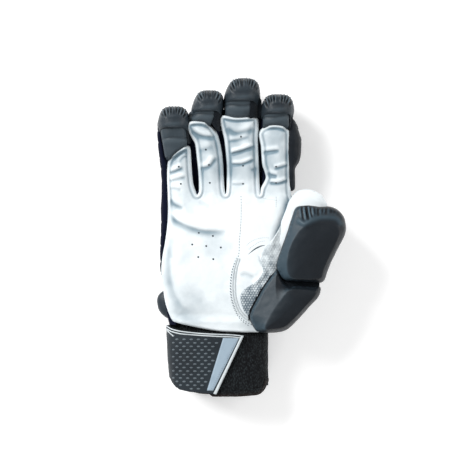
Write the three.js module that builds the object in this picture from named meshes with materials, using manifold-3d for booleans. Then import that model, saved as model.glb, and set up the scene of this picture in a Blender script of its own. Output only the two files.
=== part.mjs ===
import * as THREE from 'three';
import { mergeVertices } from 'three/addons/utils/BufferGeometryUtils.js';
import Module from 'manifold-3d';

const wasm = await Module();
wasm.setup();

// A right-hand batting glove that lies on its back. Millimetres: +X towards the thumb,
// +Y towards the finger ends, +Z out of the palm, the padded back resting on Z = 0.

// Walls and clearances
const clearance = 0.3;
const leatherWall = 1.8;
const knitWall = 3.4;
const patchWall = 1.4;
const bandWall = 1.8;
const strapWall = 2.6;

// Hand
const palmWidth = 113;
const palmLength = 117.4;
const palmDepth = 31;
const palmCentreX = -19.2;
const webY = 39.3;
const padDepth = 18;
const restFlat = 1.8;
const rollNest = 3.5;
const leatherSeam = 0.7;
const backSeam = 0.3;

// Fingers
const fingerLength = 96.2;
const fingerWidth = 29.6;
const fingerDepth = 23;
const fingerStep = 1;
const fingerLift = 8;
const fingerRootDepth = 16;
const capWall = 5;
const capOverhang = 1.9;
const capRise = 3;
const capDrop = 15;
const capBackReach = 7;

// Thumb
const thumbAngle = 24;
const thumbRootX = 10.5;
const thumbRootShare = 0.8714;
const thumbLength = 114;
const thumbWidth = 35;
const thumbDepth = 27;
const thumbCentreZ = 35;
const thumbLift = 3;
const blockWidth = 47;
const blockTop = 66;
const blockBottom = 24;
const blockBevel = 7;
const blockMiddle = 0.32;
const upperBlockStart = 30.4;
const upperBlockLength = 75.8;
const lowerBlockStart = -20.3;
const lowerBlockLength = 58.3;

// Side and wrist padding
const sideBarReach = 4.4;
const sideBarDepth = 22;
const sideBarTopShare = 0.919;
const sideBarEndShare = 0.6158;
const indexPadReach = 9;
const indexPadDepth = 24;
const indexPadTopShare = 0.8;
const indexPadEndShare = 0.0207;
const wristPadLength = 34;
const wristPadReach = 5.5;
const wristPadDepth = 24;

// Cuff and strap
const cuffWidth = 87.4;
const cuffLength = 62;
const cuffDepth = 40;
const cuffCentreX = -28.5;
const cuffBottomZ = 7;
const strapWidth = 54;
const strapFrontRise = 3;
const strapBackRise = 6;
const strapDrop = 1.6;
const strapSlope = 8;
const strapEndX = -6.8;
const strapSlant = 24.8;
const stripeWidth = 15;
const stripeEndWidth = 5.7;
const bindingWidth = 2.2;
const pipingWidth = 2.2;

const wristY = webY - palmLength;
const thumbRootY = webY - thumbRootShare * palmLength;
const sideBarEnd = webY - sideBarEndShare * palmLength;
const cuffEndY = wristY - clearance - cuffLength;
const farAway = 2 * (palmLength + cuffLength);

// Sections of the hand from the wrist to the finger roots.
// along: share of palmLength, shift and width: shares of palmWidth, depth: share of palmDepth
const palmRows = [
  { along: 0.0, shift: -0.1, width: 0.74, depth: 0.96 },
  { along: 0.1, shift: -0.094, width: 0.8, depth: 1.0 },
  { along: 0.22, shift: -0.073, width: 0.88, depth: 1.04 },
  { along: 0.37, shift: -0.049, width: 0.957, depth: 1.08 },
  { along: 0.55, shift: -0.029, width: 0.981, depth: 1.06 },
  { along: 0.74, shift: -0.01, width: 0.973, depth: 0.97 },
  { along: 0.9, shift: -0.004, width: 0.985, depth: 0.87 },
  { along: 1.02, shift: 0.0, width: 0.99, depth: 0.74 },
];

// Fingers. root: share of palmWidth from the middle of the palm, length: share of fingerLength,
// width: share of fingerWidth.
// cap and band: where the hood and the strip below it start, shares of the length from the root.
// bend: along is a share of the length, shift and width are shares of the finger's width.
const fingerRows = [
  {
    name: 'little', root: -0.371, length: 0.7432, width: 0.8851, cap: 0.8, band: 0.56, bandSlant: 0.3,
    bend: [
      { along: 0.0, shift: 0.0, width: 1.0 },
      { along: 0.28, shift: -0.07, width: 0.98 },
      { along: 0.53, shift: -0.18, width: 0.98 },
      { along: 0.78, shift: -0.25, width: 1.0 },
      { along: 1.0, shift: -0.25, width: 0.94 },
    ],
  },
  {
    name: 'ring', root: -0.137, length: 0.8909, width: 0.8311, cap: 0.84, band: 0.71, bandSlant: 0.16,
    bend: [
      { along: 0.0, shift: 0.0, width: 1.0 },
      { along: 0.3, shift: -0.04, width: 1.0 },
      { along: 0.48, shift: -0.13, width: 1.02 },
      { along: 0.64, shift: -0.22, width: 1.08 },
      { along: 0.8, shift: -0.17, width: 1.05 },
      { along: 1.0, shift: -0.07, width: 0.96 },
    ],
  },
  {
    name: 'middle', root: 0.113, length: 1, width: 1, cap: 0.84, band: 0.7, bandSlant: 0.06,
    bend: [
      { along: 0.0, shift: 0.0, width: 0.98 },
      { along: 0.3, shift: -0.03, width: 1.0 },
      { along: 0.58, shift: -0.08, width: 1.03 },
      { along: 0.76, shift: -0.08, width: 1.0 },
      { along: 1.0, shift: 0.015, width: 0.92 },
    ],
  },
  {
    name: 'index', root: 0.364, length: 0.8534, width: 0.9122, cap: 0.85, band: 0.73, bandSlant: 0.08,
    bend: [
      { along: 0.0, shift: 0.0, width: 1.0 },
      { along: 0.28, shift: 0.04, width: 0.98 },
      { along: 0.5, shift: 0.01, width: 1.0 },
      { along: 0.64, shift: -0.02, width: 1.03 },
      { along: 0.85, shift: 0.05, width: 1.0 },
      { along: 1.0, shift: 0.08, width: 0.94 },
    ],
  },
];

// Padded rolls behind each finger and the hand, from and to as shares of the finger's
// length, or of palmLength below the roots where negative
const rollRows = [
  { name: 'finger_pad_%_2', from: 0.44, to: 0.72, width: 1.08 },
  { name: 'finger_pad_%_1', from: 0.13, to: 0.42, width: 1.08 },
  { name: 'knuckle_pad_%', from: -0.21, to: 0.1, width: 1.08 },
  { name: 'hand_roll_%', from: -0.68, to: -0.22, width: 1.0 },
];

// Outlines of the thumb blocks in the thumb's own frame.
// across: share of blockWidth, along: share of the block's length
const upperBlockRows = [
  { across: -0.2, along: 0.83 },
  { across: 0.0, along: 0.92 },
  { across: 0.2, along: 0.965 },
  { across: 0.42, along: 1.0 },
  { across: 0.68, along: 0.955 },
  { across: 0.78, along: 0.87 },
  { across: 0.82, along: 0.7 },
  { across: 0.8, along: 0.42 },
  { across: 0.82, along: 0.22 },
  { across: 0.76, along: 0.125 },
  { across: 0.17, along: 0.0 },
  { across: -0.07, along: 0.075 },
  { across: -0.11, along: 0.25 },
  { across: -0.165, along: 0.56 },
];
const lowerBlockRows = [
  { across: -0.05, along: 0.97 },
  { across: 0.2, along: 0.815 },
  { across: 0.46, along: 0.91 },
  { across: 0.81, along: 1.0 },
  { across: 0.84, along: 0.88 },
  { across: 0.78, along: 0.69 },
  { across: 0.66, along: 0.43 },
  { across: 0.51, along: 0.18 },
  { across: 0.3, along: 0.085 },
  { across: 0.05, along: 0.0 },
  { across: -0.19, along: 0.18 },
  { across: -0.175, along: 0.38 },
  { across: -0.155, along: 0.6 },
];

// Outer edge of the embossed patch at the root of the thumb, from the wrist up.
// across: share of palmWidth from the middle of the palm, along: share of palmLength
const patchRows = [
  { across: 0.3, along: 0.03 },
  { across: 0.165, along: 0.06 },
  { across: 0.08, along: 0.195 },
  { across: 0.11, along: 0.27 },
  { across: 0.2, along: 0.31 },
  { across: 0.26, along: 0.385 },
  { across: 0.335, along: 0.46 },
  { across: 0.385, along: 0.56 },
  { across: 0.4, along: 0.72 },
  { across: 0.42, along: 0.9 },
];

// Piping that runs outside the patch, in the same shares
const pipingRows = [
  { across: 0.19, along: 0.03 },
  { across: 0.15, along: 0.045 },
  { across: 0.093, along: 0.105 },
  { across: 0.055, along: 0.173 },
  { across: 0.039, along: 0.27 },
  { across: 0.047, along: 0.385 },
  { across: 0.07, along: 0.48 },
];

// Sections of the cuff from its end up to the hand.
// along: share of cuffLength, width and shift: shares of cuffWidth
const cuffRows = [
  { along: 0.0, width: 0.9, shift: 0.0275 },
  { along: 0.06, width: 0.945, shift: 0.0252 },
  { along: 0.45, width: 0.98, shift: 0.0092 },
  { along: 1.0, width: 1.0, shift: 0.0 },
];

const fingers = fingerRows.map((row) => ({
  ...row,
  length: row.length * fingerLength,
  width: row.width * fingerWidth,
}));
const [littleFinger, , , indexFinger] = fingers;
const signedPower = (value, power) => Math.sign(value) * Math.abs(value) ** power;
const mix = (a, b, t) => a + (b - a) * t;

function toSolid(geometry) {
  geometry.deleteAttribute('normal');
  geometry.deleteAttribute('uv');
  const merged = mergeVertices(geometry, 1e-4);
  const index = merged.index.array;
  const triangles = [];
  for (let i = 0; i < index.length; i += 3) {
    const [a, b, c] = index.slice(i, i + 3);
    if (a !== b && b !== c && c !== a) triangles.push(a, b, c);
  }
  return new wasm.Manifold(new wasm.Mesh({
    numProp: 3,
    vertProperties: new Float32Array(merged.attributes.position.array),
    triVerts: new Uint32Array(triangles),
  }));
}

function toGeometry(solid) {
  const { vertProperties, triVerts } = solid.getMesh();
  const geometry = new THREE.BufferGeometry();
  geometry.setAttribute('position', new THREE.BufferAttribute(new Float32Array(vertProperties), 3));
  geometry.setIndex(new THREE.BufferAttribute(new Uint32Array(triVerts), 1));
  geometry.computeVertexNormals();
  return geometry;
}

// Reads a table of rows at any share along it.
function rowAt(rows, along) {
  const last = rows.length - 1;
  let k = 0;
  while (k < last - 1 && rows[k + 1].along < along) k += 1;
  const span = rows[k + 1].along - rows[k].along;
  const t = Math.min(1, Math.max(0, (along - rows[k].along) / span));
  const row = {};
  for (const key of Object.keys(rows[k])) row[key] = mix(rows[k][key], rows[k + 1][key], t);
  return row;
}

// A closed form through rounded sections that stand across Y.
function loft(sections, sides, power) {
  const positions = [];
  const index = [];
  for (const s of sections) {
    for (let j = 0; j < sides; j += 1) {
      const angle = (2 * Math.PI * (j + 0.5)) / sides;
      positions.push(
        s.x + s.halfWidth * signedPower(Math.cos(angle), 2 / power),
        s.y,
        s.z + s.halfDepth * signedPower(Math.sin(angle), 2 / power),
      );
    }
  }
  for (let i = 0; i < sections.length - 1; i += 1) {
    for (let j = 0; j < sides; j += 1) {
      const a = i * sides + j;
      const b = i * sides + ((j + 1) % sides);
      index.push(a, a + sides, b, b, a + sides, b + sides);
    }
  }
  for (const end of [0, sections.length - 1]) {
    const centre = positions.length / 3;
    positions.push(sections[end].x, sections[end].y, sections[end].z);
    for (let j = 0; j < sides; j += 1) {
      const a = end * sides + j;
      const b = end * sides + ((j + 1) % sides);
      if (end === 0) index.push(centre, a, b);
      else index.push(centre, b, a);
    }
  }
  const geometry = new THREE.BufferGeometry();
  geometry.setAttribute('position', new THREE.Float32BufferAttribute(positions, 3));
  geometry.setIndex(index);
  return toSolid(geometry);
}

// A roll with softly rounded ends between two places along Y.
function loaf({ from, to, sectionAt, steps, squareness, sides, power, grow }) {
  const endShare = 0.35;
  const sections = [];
  for (let i = 0; i <= steps; i += 1) {
    const t = 0.5 - 0.5 * Math.cos((Math.PI * i) / steps);
    const swell = (1 - Math.abs(2 * t - 1) ** squareness) ** (1 / squareness);
    const size = Math.max(endShare, swell);
    const s = sectionAt(t);
    sections.push({
      x: s.x,
      y: mix(from - grow, to + grow, t),
      z: s.z,
      halfWidth: s.halfWidth * size + grow,
      halfDepth: s.halfDepth * size + grow,
    });
  }
  return loft(sections, sides, power);
}

// A block with the given outline in X and Y.
function prism(points, low, high) {
  const shape = new THREE.Shape(points.map(([x, y]) => new THREE.Vector2(x, y)));
  const geometry = new THREE.ExtrudeGeometry(shape, { depth: high - low, bevelEnabled: false });
  return toSolid(geometry.translate(0, 0, low));
}

// Height of a seam at a place along the hand, share 0 at the back and 1 at the palm.
function seamHeight(y, share) {
  const palm = rowAt(palmRows, (y - wristY) / palmLength);
  const palmZ = padDepth + share * palmDepth * palm.depth;
  if (y < webY) return palmZ;
  const reach = Math.min(1, (y - webY) / fingerLength);
  return padDepth + fingerStep + fingerLift * reach ** 2 + share * fingerDepth;
}

// Everything between two seams, along the whole glove.
function seamZone(lowShare, highShare, lowOffset) {
  const steps = 7;
  const top = cuffEndY - capWall;
  const end = webY + fingerLength + 2 * capWall;
  const low = [];
  const high = [];
  for (let i = 0; i <= steps; i += 1) {
    const y = mix(top, end, i / steps);
    low.push(new THREE.Vector2(y, lowShare === null ? -farAway : seamHeight(y, lowShare) + lowOffset));
    high.unshift(new THREE.Vector2(y, highShare === null ? farAway : seamHeight(y, highShare)));
  }
  const shape = new THREE.Shape([...low, ...high]);
  const geometry = new THREE.ExtrudeGeometry(shape, { depth: 2 * farAway, bevelEnabled: false });
  geometry.translate(0, 0, -farAway);
  const turn = new THREE.Matrix4().makeBasis(
    new THREE.Vector3(0, 1, 0),
    new THREE.Vector3(0, 0, 1),
    new THREE.Vector3(1, 0, 0),
  );
  return toSolid(geometry.applyMatrix4(turn));
}

function palmForm(grow, openEnd = 0) {
  const sections = palmRows.map((row) => {
    const halfDepth = (palmDepth * row.depth) / 2;
    return {
      x: palmCentreX + row.shift * palmWidth,
      y: wristY + row.along * palmLength,
      z: padDepth + halfDepth,
      halfWidth: (palmWidth * row.width) / 2 + grow,
      halfDepth: halfDepth + grow,
    };
  });
  sections[0].y -= openEnd > 0 ? openEnd : Math.max(0, grow);
  sections[sections.length - 1].y += grow;
  return loft(sections, 18, 2.8);
}

function fingerCentre(finger, along) {
  const row = rowAt(finger.bend, along);
  const reach = Math.max(0, (along * finger.length) / fingerLength);
  return {
    x: palmCentreX + finger.root * palmWidth + row.shift * finger.width,
    y: webY + along * finger.length,
    z: padDepth + fingerStep + fingerDepth / 2 + fingerLift * reach ** 2,
    halfWidth: (row.width * finger.width) / 2,
  };
}

function fingerForm(finger, grow) {
  const domeShares = [0.0, 0.6, 0.96];
  const domeLength = 0.45 * fingerDepth;
  const domeStart = 1 - domeLength / finger.length;
  const sections = [{ ...fingerCentre(finger, 0), y: webY - fingerRootDepth }];
  const straight = finger.bend.filter((row) => row.along < domeStart - 0.03);
  for (const row of straight) sections.push(fingerCentre(finger, row.along));
  for (const share of domeShares) {
    const centre = fingerCentre(finger, domeStart);
    const size = Math.sqrt(1 - share ** 2);
    const tip = fingerCentre(finger, 1);
    sections.push({
      x: mix(centre.x, tip.x, share),
      y: mix(centre.y, tip.y + grow, share),
      z: mix(centre.z, tip.z, share),
      halfWidth: centre.halfWidth * size,
      size,
    });
  }
  for (const s of sections) {
    s.halfWidth += grow;
    s.halfDepth = (fingerDepth / 2) * (s.size ?? 1) + grow;
  }
  return loft(sections, 12, 2.5);
}

const thumbMatrix = new THREE.Matrix4()
  .makeTranslation(thumbRootX, thumbRootY, 0)
  .multiply(new THREE.Matrix4().makeRotationZ(THREE.MathUtils.degToRad(-thumbAngle)));

function turned(solid) {
  return solid.transform([...thumbMatrix.elements]);
}

function thumbForm(grow) {
  const rows = [
    { along: 0.06, width: 0.8 },
    { along: 0.25, width: 0.95 },
    { along: 0.6, width: 1.0 },
    { along: 0.84, width: 1.0 },
    { along: 0.94, width: 0.86 },
    { along: 1.0, width: 0.5 },
  ];
  const sections = rows.map((row) => ({
    x: 0,
    y: row.along * thumbLength + (row.along === 1 ? grow : 0),
    z: thumbCentreZ + thumbLift * row.along,
    halfWidth: (thumbWidth * row.width) / 2 + grow,
    halfDepth: (thumbDepth * row.width ** 0.5) / 2 + grow,
  }));
  return turned(loft(sections, 14, 2.4));
}

// A bevelled block: its outline is full height in the middle and drawn in at top and bottom.
function paddedBlock(rows, length, start, grow) {
  const middle = { x: blockMiddle * blockWidth, y: start + length / 2 };
  const layers = [
    { z: blockBottom - grow, inset: blockBevel },
    { z: blockBottom + blockBevel, inset: 0 },
    { z: blockTop - 1.4 * blockBevel, inset: 0 },
    { z: blockTop - 0.35 * blockBevel, inset: 0.55 * blockBevel },
    { z: blockTop + grow, inset: 1.5 * blockBevel },
  ];
  const outline = rows.map((row) => new THREE.Vector2(row.across * blockWidth, start + row.along * length));
  const positions = [];
  for (const layer of layers) {
    for (const point of outline) {
      const away = new THREE.Vector2(point.x - middle.x, point.y - middle.y);
      const reach = away.length();
      away.multiplyScalar((reach + grow - layer.inset) / reach);
      positions.push(middle.x + away.x, middle.y + away.y, layer.z);
    }
  }
  const count = outline.length;
  const index = [];
  for (let i = 0; i < layers.length - 1; i += 1) {
    for (let j = 0; j < count; j += 1) {
      const a = i * count + j;
      const b = i * count + ((j + 1) % count);
      index.push(a, a + count, b, b, a + count, b + count);
    }
  }
  for (const end of [0, layers.length - 1]) {
    const centre = positions.length / 3;
    positions.push(middle.x, middle.y, layers[end].z + (end === 0 ? 0 : 0.3 * blockBevel));
    for (let j = 0; j < count; j += 1) {
      const a = end * count + j;
      const b = end * count + ((j + 1) % count);
      if (end === 0) index.push(centre, a, b);
      else index.push(centre, b, a);
    }
  }
  const geometry = new THREE.BufferGeometry();
  geometry.setAttribute('position', new THREE.Float32BufferAttribute(positions, 3));
  geometry.setIndex(index);
  return turned(toSolid(geometry));
}

function cuffForm(grow, openEnds = 0) {
  const sections = cuffRows.map((row) => ({
    x: cuffCentreX + row.shift * cuffWidth,
    y: cuffEndY + row.along * cuffLength,
    z: cuffBottomZ + cuffDepth / 2,
    halfWidth: (cuffWidth * row.width) / 2 + grow,
    halfDepth: cuffDepth / 2 + grow,
  }));
  sections[0].y -= openEnds;
  sections[sections.length - 1].y += openEnds;
  return loft(sections, 18, 2.6);
}

function union(solids) {
  return solids.reduce((joined, solid) => joined.add(solid));
}

const handForm = (grow) => union([palmForm(grow), ...fingers.map((finger) => fingerForm(finger, grow))]);

const hollow = union([
  palmForm(-leatherWall, knitWall),
  ...fingers.map((finger) => fingerForm(finger, -leatherWall)),
  thumbForm(-leatherWall),
]);

const palmPoint = (row) => [palmCentreX + row.across * palmWidth, wristY + row.along * palmLength];

// Height that parts the palm side of the hand from its back.
const middleZ = padDepth + palmDepth / 2;

// A thin layer on the palm side of a form, inside an outline.
function frontLayer(form, wall, outline, grow, low = middleZ) {
  return form(clearance + wall + grow).intersect(prism(outline, low, farAway));
}

function patchOutline(grow) {
  const far = 0.62;
  const first = patchRows[0].along;
  const last = patchRows[patchRows.length - 1].along;
  const edge = patchRows.map(palmPoint).map(([x, y]) => [x - grow, y]);
  const back = [{ across: far, along: last }, { across: far, along: first }];
  return [...edge, ...back.map(palmPoint)].reverse();
}

function pipingOutline(grow) {
  const half = pipingWidth / 2 + grow;
  const points = pipingRows.map(palmPoint);
  const side = (sign) => points.map(([x, y], i) => {
    const before = points[Math.max(0, i - 1)];
    const after = points[Math.min(points.length - 1, i + 1)];
    const along = new THREE.Vector2(after[0] - before[0], after[1] - before[1]).normalize();
    return [x + sign * half * along.y, y - sign * half * along.x];
  });
  return [...side(1), ...side(-1).reverse()];
}

// The hood wraps the finger end; behind the finger it reaches further down than in front.
function capForm(finger, grow) {
  const front = webY + finger.cap * finger.length;
  const from = front - capBackReach;
  const to = webY + finger.length + capWall;
  const hood = loaf({
    from,
    to,
    steps: 6,
    squareness: 3.4,
    sides: 12,
    power: 3,
    grow,
    sectionAt: (t) => {
      const centre = fingerCentre(finger, (mix(from, to, t) - webY) / finger.length);
      const top = centre.z + fingerDepth / 2 + capRise;
      const bottom = centre.z - fingerDepth / 2 - capDrop;
      return {
        x: centre.x,
        z: (top + bottom) / 2,
        halfWidth: centre.halfWidth + capOverhang,
        halfDepth: (top - bottom) / 2,
      };
    },
  });
  const mouth = prism([
    [-farAway, -farAway],
    [farAway, -farAway],
    [farAway, front - grow],
    [-farAway, front - grow],
  ], fingerCentre(finger, finger.cap).z + grow, farAway);
  return hood.subtract(mouth);
}

function bandForm(finger, grow) {
  const centre = fingerCentre(finger, finger.band);
  const high = webY + finger.cap * finger.length - clearance + grow;
  const low = webY + finger.band * finger.length - grow;
  const drop = finger.bandSlant * finger.width;
  const outline = [
    [centre.x - finger.width, low - drop],
    [centre.x + finger.width, low + drop],
    [centre.x + finger.width, high],
    [centre.x - finger.width, high],
  ];
  const form = (size) => fingerForm(finger, size);
  return frontLayer(form, bandWall, outline, grow, centre.z - fingerDepth / 6);
}

// Middle of a roll behind a finger, or behind the hand where the share is negative.
function rollCentre(finger, share) {
  if (share >= 0) {
    const centre = fingerCentre(finger, share);
    const under = centre.z - fingerDepth / 2;
    return { ...centre, bottom: under - padDepth, top: under + rollNest };
  }
  const row = rowAt(palmRows, 1 + share);
  const top = padDepth + rollNest;
  return {
    x: palmCentreX + (row.shift + finger.root * row.width) * palmWidth,
    y: wristY + (1 + share) * palmLength,
    halfWidth: (finger.width * row.width) / 2,
    bottom: -restFlat,
    top,
  };
}

function rollForm(finger, roll, grow) {
  const placeOf = (share) => (share < 0 ? webY + share * palmLength : webY + share * finger.length);
  const from = placeOf(roll.from);
  const to = placeOf(roll.to);
  return loaf({
    from,
    to,
    steps: 5,
    squareness: 3.2,
    sides: 8,
    power: 2.4,
    grow,
    sectionAt: (t) => {
      const y = mix(from, to, t);
      const share = (y - webY) / (y < webY ? palmLength : finger.length);
      const centre = rollCentre(finger, share);
      return {
        x: centre.x,
        z: (centre.top + centre.bottom) / 2,
        halfWidth: centre.halfWidth * roll.width,
        halfDepth: (centre.top - centre.bottom) / 2,
      };
    },
  });
}

function wristPadForm(grow) {
  const from = wristY;
  const to = wristY + wristPadLength;
  return loaf({
    from,
    to,
    steps: 4,
    squareness: 2.8,
    sides: 16,
    power: 2.5,
    grow,
    sectionAt: (t) => {
      const row = rowAt(palmRows, mix(0, wristPadLength, t) / palmLength);
      return {
        x: palmCentreX + row.shift * palmWidth,
        z: wristPadDepth / 2 - restFlat,
        halfWidth: (row.width * palmWidth) / 2 + wristPadReach,
        halfDepth: wristPadDepth / 2,
      };
    },
  });
}

function sideBarForm(grow) {
  const from = sideBarEnd;
  const to = webY + sideBarTopShare * littleFinger.length;
  return loaf({
    from,
    to,
    steps: 7,
    squareness: 4,
    sides: 8,
    power: 2.4,
    grow,
    sectionAt: (t) => {
      const y = mix(from, to, t);
      const row = rowAt(palmRows, (y - wristY) / palmLength);
      const palmEdge = palmCentreX + (row.shift - row.width / 2) * palmWidth;
      const share = (y - webY) / littleFinger.length;
      const finger = fingerCentre(littleFinger, share);
      const edge = y < webY ? palmEdge : finger.x - finger.halfWidth;
      const towardsTip = Math.min(1, Math.max(0, share));
      return {
        x: edge,
        z: padDepth + fingerDepth / 3 + (y < webY ? 0 : finger.z - fingerCentre(littleFinger, 0).z),
        halfWidth: sideBarReach * (1 - 0.6 * towardsTip),
        halfDepth: sideBarDepth / 2,
      };
    },
  });
}

function indexPadForm(grow) {
  return loaf({
    from: webY + indexPadEndShare * indexFinger.length,
    to: webY + indexPadTopShare * indexFinger.length,
    steps: 5,
    squareness: 2.6,
    sides: 8,
    power: 2.4,
    grow,
    sectionAt: (t) => {
      const finger = fingerCentre(indexFinger, mix(indexPadEndShare, indexPadTopShare, t));
      return {
        x: finger.x + finger.halfWidth,
        z: finger.z - fingerDepth / 6,
        halfWidth: indexPadReach,
        halfDepth: indexPadDepth / 2,
      };
    },
  });
}

// Where the diagonal end of the strap lies, t from its upper edge to its lower edge.
const strapTopY = cuffEndY + cuffLength - strapDrop;
const strapEdgeX = (t) => strapEndX - strapSlant * t;
const stripeAt = (t) => mix(stripeWidth, stripeEndWidth, t);

function strapLayer(leftAt, rightAt, grow) {
  const upper = strapTopY - strapSlope;
  const lower = strapTopY - strapSlope - strapWidth + strapFrontRise;
  const left = leftAt === null ? null : [leftAt(0), leftAt(1)];
  const outline = [
    left ? [left[1], lower] : [-farAway, lower + strapFrontRise],
    [rightAt(1), lower],
    [rightAt(0), upper],
    left ? [left[0], upper] : [-cuffWidth + cuffCentreX, strapTopY],
  ];
  if (!left) outline.push([-farAway, strapTopY]);
  return frontLayer(cuffForm, strapWall, outline, grow, cuffBottomZ + cuffDepth / 2);
}

function strapForm(grow) {
  const right = (t) => strapEdgeX(t) - bindingWidth - stripeAt(t) - 2 * clearance;
  const front = strapLayer(null, right, grow);
  const lower = strapTopY - strapSlope - strapWidth + strapBackRise;
  const backZone = prism([
    [-farAway, lower],
    [farAway, lower],
    [farAway, strapTopY],
    [-farAway, strapTopY],
  ], -farAway, cuffBottomZ + cuffDepth / 2 + clearance);
  return front.add(cuffForm(clearance + strapWall + grow).intersect(backZone));
}

function stripeForm(grow) {
  const right = (t) => strapEdgeX(t) - bindingWidth - clearance + grow;
  const left = (t) => right(t) - stripeAt(t) - 2 * grow;
  return strapLayer(left, right, grow);
}

function bindingForm(grow) {
  return strapLayer((t) => strapEdgeX(t) - bindingWidth, strapEdgeX, grow);
}

const finish = {
  whiteLeather: { color: 0xe9eff1, roughness: 0.62, metalness: 0 },
  navyFabric: { color: 0x1a2138, roughness: 0.85, metalness: 0 },
  blackFabric: { color: 0x1b1e22, roughness: 0.85, metalness: 0 },
  slatePadding: { color: 0x353c41, roughness: 0.45, metalness: 0 },
  silverPatch: { color: 0xa9b4ba, roughness: 0.4, metalness: 0.2 },
  lightPiping: { color: 0xc6cccd, roughness: 0.5, metalness: 0 },
  blackKnit: { color: 0x15171b, roughness: 0.95, metalness: 0 },
  strapWeb: { color: 0x2b3036, roughness: 0.6, metalness: 0 },
};

const glove = new THREE.Group();
const placed = [];
const floor = prism([
  [-farAway, -farAway],
  [farAway, -farAway],
  [farAway, farAway],
  [-farAway, farAway],
], -farAway, 0);

function mainBody(solid) {
  return solid.decompose().reduce((largest, body) => (body.volume() > largest.volume() ? body : largest));
}

function addMesh(name, solid, look) {
  const mesh = new THREE.Mesh(toGeometry(mainBody(solid)), new THREE.MeshStandardMaterial(look));
  mesh.name = name;
  glove.add(mesh);
}

// A piece gives way to every piece that was placed before it.
function addPiece(name, form, look, space = null) {
  let solid = placed.reduce((rest, other) => rest.subtract(other), form(0)).subtract(floor);
  if (space) solid = solid.subtract(space);
  addMesh(name, solid, look);
  placed.push(form(clearance));
}

const shell = handForm(0).subtract(hollow);
addMesh('palm_leather', shell.intersect(seamZone(leatherSeam, null, 0)), finish.whiteLeather);
addMesh('gusset', shell.intersect(seamZone(backSeam, leatherSeam, clearance)), finish.navyFabric);
addMesh('back_shell', shell.intersect(seamZone(null, backSeam, 0)), finish.blackFabric);
placed.push(handForm(clearance));
addPiece('thumb_leather', thumbForm, finish.whiteLeather, hollow);
addPiece('cuff', cuffForm, finish.blackKnit, cuffForm(-knitWall, knitWall));
const patchForm = (grow) => frontLayer(palmForm, patchWall, patchOutline(grow), grow);
const pipingForm = (grow) => frontLayer(palmForm, patchWall, pipingOutline(grow), grow);
addPiece('thumb_patch', patchForm, finish.silverPatch);
addPiece('thumb_piping', pipingForm, finish.lightPiping);
addPiece('strap_binding', bindingForm, finish.lightPiping);
addPiece('strap_stripe', stripeForm, finish.silverPatch);
addPiece('strap', strapForm, finish.strapWeb);
for (const finger of fingers) {
  addPiece(`finger_cap_${finger.name}`, (grow) => capForm(finger, grow), finish.slatePadding);
  addPiece(`finger_band_${finger.name}`, (grow) => bandForm(finger, grow), finish.slatePadding);
}
addPiece('side_bar', sideBarForm, finish.slatePadding);
addPiece('index_side_pad', indexPadForm, finish.slatePadding);
addPiece('wrist_pad', wristPadForm, finish.slatePadding);
for (const finger of fingers) {
  for (const roll of rollRows) {
    const name = roll.name.replace('%', finger.name);
    addPiece(name, (grow) => rollForm(finger, roll, grow), finish.slatePadding);
  }
}
addPiece(
  'thumb_block_upper',
  (grow) => paddedBlock(upperBlockRows, upperBlockLength, upperBlockStart, grow),
  finish.slatePadding,
);
addPiece(
  'thumb_block_lower',
  (grow) => paddedBlock(lowerBlockRows, lowerBlockLength, lowerBlockStart, grow),
  finish.slatePadding,
);

export default glove;
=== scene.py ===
import math

import bmesh
import bpy
import numpy as np
from mathutils import Matrix, Vector, noise
from mathutils.bvhtree import BVHTree


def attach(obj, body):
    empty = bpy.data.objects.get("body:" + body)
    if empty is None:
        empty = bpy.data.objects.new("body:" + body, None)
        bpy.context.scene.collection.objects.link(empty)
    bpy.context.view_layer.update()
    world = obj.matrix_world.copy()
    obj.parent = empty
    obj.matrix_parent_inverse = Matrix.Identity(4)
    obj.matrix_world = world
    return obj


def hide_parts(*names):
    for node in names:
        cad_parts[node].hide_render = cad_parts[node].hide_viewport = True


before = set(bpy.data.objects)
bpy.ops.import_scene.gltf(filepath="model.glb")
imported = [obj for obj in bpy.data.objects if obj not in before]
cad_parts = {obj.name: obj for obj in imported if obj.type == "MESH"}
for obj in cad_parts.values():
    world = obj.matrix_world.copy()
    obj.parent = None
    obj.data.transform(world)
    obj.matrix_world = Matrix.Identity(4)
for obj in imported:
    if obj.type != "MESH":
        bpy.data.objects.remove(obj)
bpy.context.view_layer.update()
mm = 0.001

# Sizes of the hand that the pieces share
hand = {
    "palmWidth": 113.0,
    "palmLength": 117.4,
    "palmDepth": 31.0,
    "palmCentreX": -19.2,
    "webY": 39.3,
    "padDepth": 18.0,
    "fingerDepth": 23.0,
    "fingerLift": 8.0,
    "backSeam": 0.3,
}
wristY = hand["webY"] - hand["palmLength"]


def mix(a, b, t):
    return a + (b - a) * t


def clamp(value, low=0.0, high=1.0):
    return min(high, max(low, value))


def ease(t):
    t = np.clip(t, 0, 1)
    return t * t * (3 - 2 * t)


def hump(x, width):
    return np.exp(-((x / width) ** 2))


def signedPower(value, power):
    return np.copysign(np.abs(value) ** power, value)


def readRow(rows, along):  # a smooth reading of a table between its rows
    last = len(rows) - 1
    k = 0
    while k < last - 1 and rows[k + 1]["along"] < along:
        k += 1
    a, b = rows[k], rows[k + 1]
    before, after = rows[max(0, k - 1)], rows[min(last, k + 2)]
    t = clamp((along - a["along"]) / (b["along"] - a["along"]))
    read = {}
    for key in a:
        span = b["along"] - a["along"]
        slopeA = (b[key] - before[key]) / (b["along"] - before["along"]) * span
        slopeB = (after[key] - a[key]) / (after["along"] - a["along"]) * span
        h = (2 * t ** 3 - 3 * t ** 2 + 1) * a[key] + (t ** 3 - 2 * t ** 2 + t) * slopeA
        read[key] = h + (3 * t ** 2 - 2 * t ** 3) * b[key] + (t ** 3 - t ** 2) * slopeB
    return read


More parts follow.
